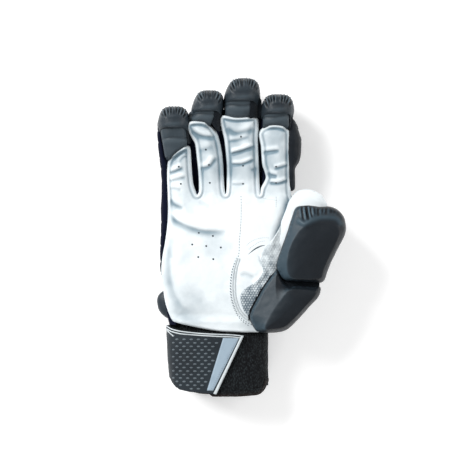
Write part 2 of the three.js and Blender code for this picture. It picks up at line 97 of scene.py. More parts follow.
def curveThrough(points, steps=6, closed=False):  # a smooth line through the points
    points = np.array(points, float)
    count = len(points)

    def pick(k):
        return points[k % count] if closed else points[min(max(k, 0), count - 1)]

    t = (np.arange(steps) / steps)[:, None]
    line = []
    for k in range(count if closed else count - 1):
        a, b, c, d = pick(k - 1), pick(k), pick(k + 1), pick(k + 2)
        bend = (2 * a - 5 * b + 4 * c - d) * t ** 2 + (3 * b - a - 3 * c + d) * t ** 3
        line.append(0.5 * (2 * b + (c - a) * t + bend))
    return np.concatenate(line if closed else line + [points[-1:]])


def lineDistance(spots, line, closed=False):  # how far each spot is from a line, below zero inside a closed one
    spots = np.asarray(spots, float)
    best = np.full(len(spots), 1e9)
    foot = np.zeros_like(spots)
    place = np.zeros(len(spots))
    inside = np.zeros(len(spots), bool)
    ends = np.roll(line, -1, axis=0) if closed else line[1:]
    for k, (a, b) in enumerate(zip(line, ends)):
        span = b - a
        t = np.clip(((spots - a) @ span) / (span @ span + 1e-12), 0, 1)
        near = a + t[:, None] * span
        gap = np.hypot(spots[:, 0] - near[:, 0], spots[:, 1] - near[:, 1])
        closer = gap < best
        best[closer] = gap[closer]
        foot[closer] = near[closer]
        place[closer] = k + t[closer]
        if closed and a[1] != b[1]:
            crosses = (a[1] > spots[:, 1]) != (b[1] > spots[:, 1])
            inside ^= crosses & (spots[:, 0] < span[0] * (spots[:, 1] - a[1]) / span[1] + a[0])
    return np.where(inside, -best, best), foot, place / len(ends)


def outwardAt(line, place):  # the way out of a closed line, at shares of its length in steps
    span = np.roll(line, -1, axis=0) - np.roll(line, 1, axis=0)
    turn = np.sign(np.sum(line[:, 0] * np.roll(line[:, 1], -1) - np.roll(line[:, 0], -1) * line[:, 1]))
    way = turn * np.stack([span[:, 1], -span[:, 0]], axis=1)
    way /= np.linalg.norm(way, axis=1)[:, None] + 1e-12
    k = place * len(line)
    low = np.floor(k).astype(int) % len(line)
    t = (k - np.floor(k))[:, None]
    out = way[low] * (1 - t) + way[(low + 1) % len(line)] * t
    return out / (np.linalg.norm(out, axis=1)[:, None] + 1e-12)


def ripple(points, size, seed=0.0):  # smooth unevenness from -1 to 1, for points in millimetres
    return np.array([noise.noise(Vector((p[0] / size + seed, p[1] / size - seed, p[2] / size))) for p in points])


# Hand sections from the wrist to the finger roots: along is a share of palmLength,
# shift and width are shares of palmWidth, depth is a share of palmDepth
palmRows = [
    {"along": 0.0, "shift": -0.1, "width": 0.74, "depth": 0.96},
    {"along": 0.1, "shift": -0.094, "width": 0.8, "depth": 1.0},
    {"along": 0.22, "shift": -0.073, "width": 0.88, "depth": 1.04},
    {"along": 0.37, "shift": -0.049, "width": 0.957, "depth": 1.08},
    {"along": 0.55, "shift": -0.029, "width": 0.981, "depth": 1.06},
    {"along": 0.74, "shift": -0.01, "width": 0.973, "depth": 0.97},
    {"along": 0.9, "shift": -0.004, "width": 0.985, "depth": 0.87},
    {"along": 1.02, "shift": 0.0, "width": 0.99, "depth": 0.74},
]

# Fingers: root is a share of palmWidth, cap is where the hood starts as a share of the length;
# in bend, along is a share of the length, shift and width are shares of the finger's width
fingers = {
    "little": {
        "root": -0.371, "length": 71.5, "width": 26.2, "cap": 0.8,
        "bend": [
            {"along": 0.0, "shift": 0.0, "width": 1.0},
            {"along": 0.28, "shift": -0.07, "width": 0.98},
            {"along": 0.53, "shift": -0.18, "width": 0.98},
            {"along": 0.78, "shift": -0.25, "width": 1.0},
            {"along": 1.0, "shift": -0.25, "width": 0.94},
        ],
    },
    "ring": {
        "root": -0.137, "length": 85.7, "width": 24.6, "cap": 0.84,
        "bend": [
            {"along": 0.0, "shift": 0.0, "width": 1.0},
            {"along": 0.3, "shift": -0.04, "width": 1.0},
            {"along": 0.48, "shift": -0.13, "width": 1.02},
            {"along": 0.64, "shift": -0.22, "width": 1.08},
            {"along": 0.8, "shift": -0.17, "width": 1.05},
            {"along": 1.0, "shift": -0.07, "width": 0.96},
        ],
    },
    "middle": {
        "root": 0.113, "length": 96.2, "width": 29.6, "cap": 0.84,
        "bend": [
            {"along": 0.0, "shift": 0.0, "width": 0.98},
            {"along": 0.3, "shift": -0.03, "width": 1.0},
            {"along": 0.58, "shift": -0.08, "width": 1.03},
            {"along": 0.76, "shift": -0.08, "width": 1.0},
            {"along": 1.0, "shift": 0.015, "width": 0.92},
        ],
    },
    "index": {
        "root": 0.364, "length": 82.1, "width": 27.0, "cap": 0.85,
        "bend": [
            {"along": 0.0, "shift": 0.0, "width": 1.0},
            {"along": 0.28, "shift": 0.04, "width": 0.98},
            {"along": 0.5, "shift": 0.01, "width": 1.0},
            {"along": 0.64, "shift": -0.02, "width": 1.03},
            {"along": 0.85, "shift": 0.05, "width": 1.0},
            {"along": 1.0, "shift": 0.08, "width": 0.94},
        ],
    },
}
longestFinger = fingers["middle"]["length"]


def palmSection(y):
    row = readRow(palmRows, (y - wristY) / hand["palmLength"])
    halfDepth = hand["palmDepth"] * row["depth"] / 2
    centre = hand["palmCentreX"] + row["shift"] * hand["palmWidth"]
    return centre, hand["padDepth"] + halfDepth, row["width"] * hand["palmWidth"] / 2, halfDepth


def fingerSection(finger, along):
    row = readRow(finger["bend"], along)
    reach = max(0.0, along * finger["length"] / longestFinger)
    x = hand["palmCentreX"] + finger["root"] * hand["palmWidth"] + row["shift"] * finger["width"]
    z = hand["padDepth"] + 1 + hand["fingerDepth"] / 2 + hand["fingerLift"] * reach ** 2
    return x, z, row["width"] * finger["width"] / 2, hand["fingerDepth"] / 2


def frontHeight(y):  # the highest line of the palm side, along the hand
    y = np.asarray(y, float)
    samples = np.linspace(wristY - 8, hand["webY"], 40)
    palmTop = np.interp(y, samples, [sum(palmSection(v)[1::2]) for v in samples])
    reach = np.clip((y - hand["webY"]) / longestFinger, 0, 1)
    fingerTop = hand["padDepth"] + 1 + hand["fingerDepth"] + hand["fingerLift"] * reach ** 2
    t = ease((y - hand["webY"] + 8) / 16)
    return palmTop * (1 - t) + fingerTop * t


# Shader maths: a socket with Python's operators

class Shade:
    def __init__(self, tree, socket=None):
        self.tree = tree
        self.socket = socket

    def node(self, kind, settings=None, inputs=None, output=0):
        made = self.tree.nodes.new("ShaderNode" + kind)
        for key, value in (settings or {}).items():
            setattr(made, key, value)
        for key, value in (inputs or {}).items():
            if isinstance(value, Shade):
                self.tree.links.new(value.socket, made.inputs[key])
            else:
                made.inputs[key].default_value = value
        return Shade(self.tree, made.outputs[output])

    def math(self, operation, a, b=0.0, clip=False):
        return self.node("Math", {"operation": operation, "use_clamp": clip}, {0: a, 1: b})

    def __add__(self, other):
        return self.math("ADD", self, other)

    def __radd__(self, other):
        return self.math("ADD", other, self)

    def __sub__(self, other):
        return self.math("SUBTRACT", self, other)

    def __rsub__(self, other):
        return self.math("SUBTRACT", other, self)

    def __mul__(self, other):
        return self.math("MULTIPLY", self, other)

    def __rmul__(self, other):
        return self.math("MULTIPLY", other, self)


def tinted(shade, mask, first, second):  # a colour between two, by a mask
    inputs = {"Factor": mask, 6: first, 7: second}
    return shade.node("Mix", {"data_type": "RGBA"}, inputs, output=2)


def newMaterial(name, constants):
    material = bpy.data.materials.new(name)
    material.use_nodes = True
    tree = material.node_tree
    shader = next(n for n in tree.nodes if n.type == "BSDF_PRINCIPLED")
    for key, value in constants.items():
        shader.inputs[key].default_value = value
    start = Shade(tree)
    place = start.node("TexCoord", output=3)
    return material, shader, start, place


def connect(shader, name, shade):
    shade.tree.links.new(shade.socket, shader.inputs[name])


def finishShader(shader, tint, roughness, strength, distance, height):
    connect(shader, "Base Color", tint)
    connect(shader, "Roughness", roughness)
    bump = {"Strength": strength, "Distance": distance, "Height": height}
    connect(shader, "Normal", height.node("Bump", inputs=bump))


def colour(screen):  # screen values from 0 to 255, as linear light
    return tuple(((v / 255 + 0.055) / 1.055) ** 2.4 if v > 10 else v / 3294.6 for v in screen) + (1.0,)


def leatherMaterial(name, look):
    constants = {"Specular IOR Level": look["gloss"], "Coat Roughness": 0.35}
    material, shader, start, place = newMaterial(name, constants)
    scaled = {"Vector": place, "Scale": look["grainScale"]}
    cells = start.node("TexVoronoi", {"feature": "DISTANCE_TO_EDGE"}, scaled)
    grain = start.node("TexNoise", inputs={"Vector": place, "Scale": look["grainScale"] * 1.7, "Detail": 4.0})
    broad = start.node("TexNoise", inputs={"Vector": place, "Scale": look["broadScale"], "Detail": 3.0})
    pebble = start.math("MINIMUM", cells * 9.0, 1.0)
    height = pebble * 0.5 + grain * 0.9
    # The fold attribute paints light and shade: below zero it darkens the colour towards the deep colour as painted
    # shade in folds and creases, above zero it lightens it towards the lightest colour as a painted highlight on ridges
    # and lips
    fold = start.node("Attribute", {"attribute_name": "fold"}, output=2)
    shadow = start.math("MAXIMUM", fold * -1.0, 0.0) * look["foldShadeTint"]
    paintedHighlight = start.math("MULTIPLY", start.math("MAXIMUM", fold, 0.0), look["highlightTint"], clip=True)
    unclipped = (broad - 0.5) * 1.6 + shadow + (1.0 - pebble) * look["grainTint"]
    tone = start.math("MULTIPLY", unclipped, 1.0, clip=True)
    shaded = tinted(start, tone, colour(look["base"]), colour(look["deep"]))
    tint = tinted(start, paintedHighlight, shaded, colour(look["highlight"]))
    roughness = start.math("ADD", (grain - 0.5) * 0.25, look["roughness"], clip=True)
    finishShader(shader, tint, roughness, look["bump"], look["grainDepth"], height)
    return material


def fabricMaterial(name, look):  # a knitted or woven cloth
    constants = {"Specular IOR Level": 0.15, "Sheen Weight": look["sheen"]}
    material, shader, start, place = newMaterial(name, constants)
    scaled = {"Vector": place, "Scale": look["weaveScale"], "Distortion": 0.6}
    ribs, rows = (start.node("TexWave", {"wave_type": "BANDS", "bands_direction": way}, scaled) for way in "XY")
    fuzz = start.node("TexNoise", inputs={"Vector": place, "Scale": look["fuzzScale"], "Detail": 5.0})
    weave = ribs * rows
    height = weave * 0.7 + fuzz
    tone = start.math("MULTIPLY", fuzz * 0.8 + weave * 0.4, 1.0, clip=True)
    tint = tinted(start, tone, colour(look["deep"]), colour(look["base"]))
    roughness = start.math("ADD", fuzz * 0.2, look["roughness"], clip=True)
    finishShader(shader, tint, roughness, look["bump"], look["depth"], height)
    return material


def patchMaterial(name, look):  # dark pimples on light leather, plainer towards the fingers
    material, shader, start, place = newMaterial(name, {"Specular IOR Level": look["gloss"]})
    fold = start.node("Attribute", {"attribute_name": "fold"}, output=2)
    split = start.node("SeparateXYZ", inputs={"Vector": place}, output=1)
    fade = start.math("ADD", (split + 0.02) * -28.0, 0.3, clip=True)
    worn = start.node("TexNoise", inputs={"Vector": place, "Scale": 160.0, "Detail": 3.0})
    grain = start.node("TexNoise", inputs={"Vector": place, "Scale": 900.0, "Detail": 4.0})
    ring = start.math("ADD", (1.0 - fold) * 1.1, (grain - 0.5) * 1.2, clip=True)
    tone = start.math("ADD", ring * (fade * 0.85 + 0.15), (worn - 0.5) * 1.6 + 0.08, clip=True)
    tint = tinted(start, tone, colour(look["base"]), colour(look["deep"]))
    roughness = start.math("ADD", (grain - 0.5) * 0.3, look["roughness"], clip=True)
    finishShader(shader, tint, roughness, 0.5, 0.0001, grain)
    return material


def knitMaterial(name, look):  # terry loops; the fold attribute marks the worn free edge
    constants = {"Specular IOR Level": 0.2, "Sheen Weight": look["sheen"]}
    material, shader, start, place = newMaterial(name, constants)
    slanted = {"Vector": place, "Rotation": (0.0, 0.0, 0.6), "Scale": (1.0, 0.6, 1.0)}
    turned = start.node("Mapping", inputs=slanted)
    loops = start.node("TexVoronoi", inputs={"Vector": turned, "Scale": look["loopScale"]})
    fuzz = start.node("TexNoise", inputs={"Vector": place, "Scale": 1700.0, "Detail": 5.0})
    broad = start.node("TexNoise", inputs={"Vector": place, "Scale": 70.0, "Detail": 3.0})
    height = (1.0 - loops * 1.3) + fuzz * 0.5
    tone = start.math("MULTIPLY", (1.0 - loops * 1.7) * 0.7 + (fuzz - 0.5) * 1.0, broad * 1.1 + 0.2, clip=True)
    knit = tinted(start, tone, colour(look["deep"]), colour(look["base"]))
    fold = start.node("Attribute", {"attribute_name": "fold"}, output=2)
    tint = tinted(start, start.math("MULTIPLY", fold * 0.45, fuzz, clip=True), knit, colour(look["edge"]))
    roughness = start.math("ADD", fuzz * 0.15, look["roughness"], clip=True)
    finishShader(shader, tint, roughness, look["bump"], look["depth"], height)
    return material


# Colours are screen values; each row names what differs from the plain leather or fabric. In the leathers, deep is the
# colour of darker grain and tone and also of painted shade in folds, and the lightest colour is that of painted
# highlights
plainLeather = {
    "roughness": 0.5, "gloss": 0.25, "grainScale": 1100.0, "broadScale": 50.0, "grainDepth": 0.0001,
    "bump": 0.4, "foldShadeTint": 0.2, "highlightTint": 0.2, "grainTint": 0.2,
}
leathers = {
    "whiteLeather": {
        "base": (222, 229, 232), "deep": (112, 133, 145), "highlight": (242, 245, 246), "gloss": 0.35,
        "grainScale": 900.0, "broadScale": 28.0, "grainDepth": 0.00012, "bump": 0.5, "foldShadeTint": 0.62,
        "highlightTint": 0.5, "grainTint": 0.05,
    },
    "slatePadding": {
        "base": (40, 49, 56), "deep": (10, 14, 19), "highlight": (98, 112, 121), "roughness": 0.42,
        "gloss": 0.3, "broadScale": 40.0, "bump": 0.5, "foldShadeTint": 0.8, "highlightTint": 0.6,
    },
    "silverLeather": {
        "base": (150, 168, 182), "deep": (104, 124, 140), "highlight": (190, 203, 212), "roughness": 0.36,
        "gloss": 0.5, "broadScale": 60.0, "grainDepth": 0.00008, "foldShadeTint": 0.5, "highlightTint": 0.5,
        "grainTint": 0.1,
    },
    "lightPiping": {
        "base": (196, 203, 206), "deep": (112, 122, 128), "highlight": (226, 230, 231), "roughness": 0.45,
        "gloss": 0.4, "grainScale": 1500.0, "broadScale": 80.0, "grainDepth": 0.00005, "bump": 0.3,
        "foldShadeTint": 0.4, "highlightTint": 0.4, "grainTint": 0.1,
    },
    "strapWeb": {
        "base": (34, 42, 48), "deep": (13, 17, 22), "highlight": (92, 102, 109), "roughness": 0.52,
        "gloss": 0.22, "grainScale": 1400.0, "bump": 0.6, "foldShadeTint": 0.5, "highlightTint": 0.9,
    },
    "slateSmooth": {
        "base": (52, 62, 69), "deep": (20, 26, 31), "highlight": (104, 117, 125), "grainScale": 1300.0,
        "broadScale": 60.0, "grainDepth": 0.00008, "bump": 0.35, "foldShadeTint": 0.8, "highlightTint": 0.5,
        "grainTint": 0.15,
    },
    "blackPadding": {
        "base": (18, 24, 31), "deep": (6, 9, 13), "highlight": (58, 68, 76), "gloss": 0.2, "broadScale": 40.0,
        "bump": 0.5, "foldShadeTint": 0.5, "highlightTint": 0.4,
    },
    "blockLeather": {
        "base": (20, 26, 32), "deep": (6, 8, 12), "highlight": (68, 88, 100), "roughness": 0.46,
        "grainScale": 1200.0, "broadScale": 30.0, "grainDepth": 0.00008, "foldShadeTint": 0.6, "highlightTint": 1.0,
    },
    "strapPimple": {
        "base": (88, 98, 105), "deep": (50, 58, 65), "highlight": (130, 140, 146), "gloss": 0.4,
        "grainScale": 1400.0,
    },
    "greyThread": {
        "base": (112, 122, 129), "deep": (74, 83, 89), "highlight": (150, 158, 163), "roughness": 0.7,
        "gloss": 0.2, "grainScale": 3000.0, "broadScale": 300.0, "grainDepth": 0.00005,
    },
    "holeDark": {
        "base": (58, 66, 72), "deep": (22, 27, 31), "highlight": (90, 98, 104), "roughness": 0.8,
        "gloss": 0.1, "grainScale": 3000.0, "broadScale": 900.0, "grainDepth": 0.00005, "bump": 0.3,
    },
}
plainFabric = {
    "roughness": 0.85, "sheen": 0.08, "weaveScale": 520.0, "fuzzScale": 1500.0, "depth": 0.0002,
    "bump": 0.6,
}
fabrics = {
    "navyFabric": {
        "base": (9, 17, 40), "deep": (3, 5, 18), "sheen": 0.0,
    },
    "blackFabric": {
        "base": (24, 30, 37), "deep": (7, 9, 13), "roughness": 0.78, "sheen": 0.05, "bump": 0.7,
    },
    "blackKnit": {
        "base": (32, 40, 48), "deep": (4, 6, 9), "weaveScale": 260.0, "fuzzScale": 1100.0, "depth": 0.0006,
        "bump": 1.0,
    },
}
materials = {name: leatherMaterial(name, {**plainLeather, **look}) for name, look in leathers.items()}
materials.update({name: fabricMaterial(name, {**plainFabric, **look}) for name, look in fabrics.items()})
materials["pimpledPatch"] = patchMaterial("pimpledPatch", {
    "base": (222, 230, 233), "deep": (96, 110, 120), "roughness": 0.5, "gloss": 0.4,
})
materials["terryKnit"] = knitMaterial("terryKnit", {
    "base": (58, 67, 70), "deep": (3, 5, 8), "edge": (74, 56, 48), "roughness": 0.9, "sheen": 0.08,
    "loopScale": 760.0, "bump": 1.0, "depth": 0.0007,
})


# Meshes

def wrapGrid(across, along, place):  # a grid whose corners go where place(u, t) says; equal corners then close it
    work = bmesh.new()
    bmesh.ops.create_grid(work, x_segments=across, y_segments=along, size=0.5)
    for vert in work.verts:
        vert.co = Vector(place(vert.co.x + 0.5, vert.co.y + 0.5)) * mm
    bmesh.ops.remove_doubles(work, verts=work.verts, dist=1e-6)
    bmesh.ops.recalc_face_normals(work, faces=work.faces)
    return work


def toMesh(work, name):
    mesh = bpy.data.meshes.new(name)
    work.to_mesh(mesh)
    work.free()
    return mesh


def newObject(name, data):
    made = bpy.data.objects.new(name, data)
    bpy.context.scene.collection.objects.link(made)
    return made


def addPiece(name, mesh, finish, nodes=()):
    mesh.shade_smooth()
    mesh.materials.clear()
    mesh.materials.append(materials[finish])
    piece = newObject(name, mesh)
    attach(piece, "root")
    if nodes:
        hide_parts(*nodes)
    return piece


def evaluated(mesh, modifiers):  # the mesh after the modifiers given as (type, settings) pairs
    carrier = newObject("carrier", mesh)
    for kind, settings in modifiers:
        modifier = carrier.modifiers.new(kind.title(), kind)
        for key, value in settings.items():
            setattr(modifier, key, value)
    done = bpy.data.meshes.new_from_object(carrier.evaluated_get(bpy.context.evaluated_depsgraph_get()))
    bpy.data.objects.remove(carrier)
    return done


def thickened(mesh, wall):
    settings = {"thickness": wall * mm, "offset": -1.0, "use_quality_normals": True}
    return evaluated(mesh, [("SOLIDIFY", settings)])


def corners(mesh):  # in millimetres
    points = np.empty(len(mesh.vertices) * 3)
    mesh.vertices.foreach_get("co", points)
    return points.reshape(-1, 3) / mm


def putCorners(mesh, points):
    mesh.vertices.foreach_set("co", (points * mm).reshape(-1))
    mesh.update()


def cornerNormals(mesh):
    normals = np.empty(len(mesh.vertices) * 3)
    mesh.vertices.foreach_get("normal", normals)
    return normals.reshape(-1, 3)


# On the leathers, values below zero darken the colour and values above zero lighten it, mostly as painted shade in
# folds and painted highlight on ridges; on the thumb patch the values mark the pimples, on the cuff the worn free edge
def writeFold(mesh, values):  # how deep a fold lies at each corner, for the materials
    layer = mesh.attributes.new("fold", "FLOAT", "POINT")
    layer.data.foreach_set("value", np.asarray(values, np.float32))


def panelMesh(name, outline, cell, height, hem=(), wall=1.2):
    # A sheet with the given outline, its height from height(spots, gap), and a turned hem of (outwards, up) steps
    low = outline.min(axis=0) - cell
    size = outline.max(axis=0) + cell - low
    work = bmesh.new()
    bmesh.ops.create_grid(work, x_segments=math.ceil(size[0] / cell), y_segments=math.ceil(size[1] / cell), size=0.5)
    spots = low + (np.array([vert.co[:2] for vert in work.verts]) + 0.5) * size
    gap, foot, place = lineDistance(spots, outline, closed=True)
    for vert, spot in zip(work.verts, spots):
        vert.co = (spot[0], spot[1], 0)
    bmesh.ops.delete(work, geom=[v for v, g in zip(list(work.verts), gap) if g > 0.4 * cell], context="VERTS")
    loose = [v for v in work.verts if not v.link_faces]
    bmesh.ops.delete(work, geom=loose, context="VERTS")
    spots = np.array([v.co[:2] for v in work.verts])
    gap, foot, place = lineDistance(spots, outline, closed=True)
    for vert, g, f in zip(work.verts, gap, foot):
        if g > -0.4 * cell or vert.is_boundary:
            vert.co = (f[0], f[1], 0)
    near = [v for v, g in zip(work.verts, gap) if not v.is_boundary and g > -3 * cell]
    for _ in range(3):
        bmesh.ops.smooth_vert(work, verts=near, factor=0.5, use_axis_x=True, use_axis_y=True)
    spots = np.array([v.co[:2] for v in work.verts])
    gap, foot, place = lineDistance(spots, outline, closed=True)
    border = {v: w for v, w in zip(work.verts, outwardAt(outline, place)) if v.is_boundary}
    tall = height(spots, np.minimum(gap, 0))
    for vert, z in zip(work.verts, tall):
        vert.co.z = z
    edges = [e for e in work.edges if e.is_boundary]
    bmesh.ops.recalc_face_normals(work, faces=work.faces)
    if sum(face.normal.z for face in work.faces) < 0:
        bmesh.ops.reverse_faces(work, faces=work.faces)
    for out, up in hem:
        before = {tuple(v.co[:]): way for v, way in border.items()}
        made = bmesh.ops.extrude_edge_only(work, edges=edges)["geom"]
        edges = [g for g in made if isinstance(g, bmesh.types.BMEdge)]
        border = {g: before[tuple(g.co[:])] for g in made if isinstance(g, bmesh.types.BMVert)}
        for vert, way in border.items():
            vert.co += Vector((way[0] * out, way[1] * out, up))
    bmesh.ops.scale(work, vec=(mm, mm, mm), verts=work.verts)
    bmesh.ops.recalc_face_normals(work, faces=work.faces)
    mesh = toMesh(work, name)
    return thickened(mesh, wall) if wall else mesh


def cordMesh(name, line, radius, sides=8):  # a round cord with closed ends along a line; radius may be a function
    line = np.asarray(line, float)
    steps = len(line) + 1
    way = np.gradient(line, axis=0)
    way /= np.linalg.norm(way, axis=1)[:, None] + 1e-12

    def place(u, t):
        k = int(round(t * steps)) - 1
        at = min(max(k, 0), len(line) - 1)
        thick = radius(at / (len(line) - 1)) if callable(radius) else radius
        size = 0.0 if k < 0 or k >= len(line) else thick
        across = np.cross(way[at], (0, 0, 1))
        across /= np.linalg.norm(across) + 1e-12
        lift = np.cross(across, way[at])
        angle = 2 * math.pi * u
        return line[at] + size * (math.cos(angle) * across + math.sin(angle) * lift)

    return toMesh(wrapGrid(sides, steps, place), name)


def surfaceOf(*pieces):  # the joined surface of some pieces, to set others on
    work = bmesh.new()
    for piece in pieces:
        work.from_mesh(piece.data)
    tree = BVHTree.FromBMesh(work)
    work.free()
    return tree


def settle(tree, spots, lift=0.0):  # where spots fall on a surface from above, in millimetres, with its normals
    points, ways = [], []
    for x, y in np.asarray(spots)[:, :2]:
        hit, normal, _, _ = tree.ray_cast(Vector((x, y, 200)) * mm, Vector((0, 0, -1)))
        if hit is None:
            hit, normal, _, _ = tree.find_nearest(Vector((x, y, 50)) * mm)
        normal = normal if normal.z > 0 else -normal
        points.append(np.array(hit) / mm + lift * np.array(normal))
        ways.append(np.array(normal))
    return np.array(points), np.array(ways)


def evenSpots(line, pitch):  # places along a line at an even pitch, with the way it runs
    line = np.asarray(line, float)
    step = np.linalg.norm(np.diff(line, axis=0), axis=1)
    run = np.concatenate([[0], np.cumsum(step)])
    count = max(2, int(round(run[-1] / pitch)) + 1)
    at = np.linspace(0, run[-1], count)
    spots = np.stack([np.interp(at, run, line[:, i]) for i in range(line.shape[1])], axis=1)
    return spots, np.gradient(spots, axis=0)


def beadMesh(name, beads, rings=(8, 5)):  # small domes: (place, way, normal, (long, wide, high)) each
    work = bmesh.new()
    for place, way, normal, size in beads:
        up = Vector(normal).normalized()
        ahead = Vector((way[0], way[1], way[2] if len(way) > 2 else 0))
        ahead = (ahead - up * ahead.dot(up)).normalized()
        side = up.cross(ahead)
        turn = Matrix((ahead, side, up)).transposed().to_4x4()
        scale = Matrix.Diagonal((size[0] / 2 * mm, size[1] / 2 * mm, size[2] / 2 * mm, 1))
        matrix = Matrix.Translation(Vector(place) * mm) @ turn @ scale
        bmesh.ops.create_uvsphere(work, u_segments=rings[0], v_segments=rings[1], radius=1, matrix=matrix)
    return toMesh(work, name)


def stitches(name, tree, lines, look):  # a row of thread stitches pressed into a surface
    beads = []
    for line in lines:
        spots, ways = evenSpots(line, look["pitch"])
        points, normals = settle(tree, spots, look["lift"])
        beads += [(p, w, n, look["size"]) for p, w, n in zip(points, ways, normals)]
    return addPiece(name, beadMesh(name, beads, (6, 4)), "greyThread")


# The white leather of the palm and the fingers

palmLeather = {
    "cell": 0.72,
    "wall": 1.1,
    "fingerCrown": 11.0,
    "fingerDrop": 6.5,
    "palmCrown": 21.0,
    "palmDrop": 8.5,
    "edgeRound": 1.7,
    "seamWidth": 1.15,
    "seamHeight": 1.0,
    "grooveDepth": 0.85,
    "hem": [(0.3, -0.5), (0.1, -0.9), (-0.5, -1.0)],
    "outline": [
        (-69.5, -72.0), (-74.4, -59.6), (-77.0, -43.7), (-78.4, -28.7), (-77.2, -15.5), (-74.8, -2.2),
        (-73.1, 13.7), (-73.1, 28.7), (-74.0, 41.9), (-74.4, 50.8), (-74.0, 59.6), (-72.8, 66.7),
        (-70.4, 71.1), (-66.0, 75.1), (-60.7, 78.6), (-55.8, 80.8), (-53.6, 78.1), (-52.8, 68.4),
        (-51.9, 55.2), (-50.7, 46.4), (-48.8, 40.6), (-47.2, 37.5), (-45.4, 40.6), (-45.4, 48.1),
        (-46.1, 59.6), (-47.5, 72.8), (-49.2, 83.4), (-53.6, 90.5), (-56.3, 96.2), (-55.4, 100.2),
        (-51.0, 102.0), (-42.2, 102.0), (-36.0, 99.3), (-32.0, 95.4), (-28.9, 89.6), (-26.7, 80.8),
        (-25.4, 72.8), (-24.5, 62.3), (-24.0, 50.8), (-23.3, 41.9), (-22.0, 38.0), (-21.0, 41.9),
        (-20.8, 52.5), (-20.8, 64.0), (-21.9, 77.3), (-23.2, 87.9), (-25.8, 96.7), (-27.2, 103.3),
        (-25.8, 106.7), (-22.7, 107.0), (-13.9, 105.5), (-4.2, 105.9), (2.9, 106.4), (6.4, 103.9),
        (6.7, 96.7), (6.0, 86.1), (6.4, 72.8), (7.0, 59.6), (7.5, 46.4), (8.2, 38.0), (9.5, 43.7),
        (12.1, 49.0), (13.6, 53.0), (12.6, 57.8), (10.6, 64.0), (9.8, 72.8), (9.1, 81.7), (7.3, 90.1),
        (8.6, 94.5), (12.6, 97.6), (19.6, 99.1), (26.7, 98.5), (32.0, 96.2), (34.5, 93.2), (34.8, 81.7),
        (34.9, 68.4), (34.7, 55.2), (34.7, 43.7), (35.8, 36.6), (38.2, 27.8), (39.1, 13.7), (38.2, -2.2),
        (36.9, -19.9), (34.7, -37.5), (30.2, -55.2), (23.2, -71.1), (11.7, -81.7), (-0.7, -83.0),
        (-13.9, -83.0), (-27.2, -82.4), (-40.4, -80.2), (-53.6, -77.4), (-64.2, -74.8),
    ],
}

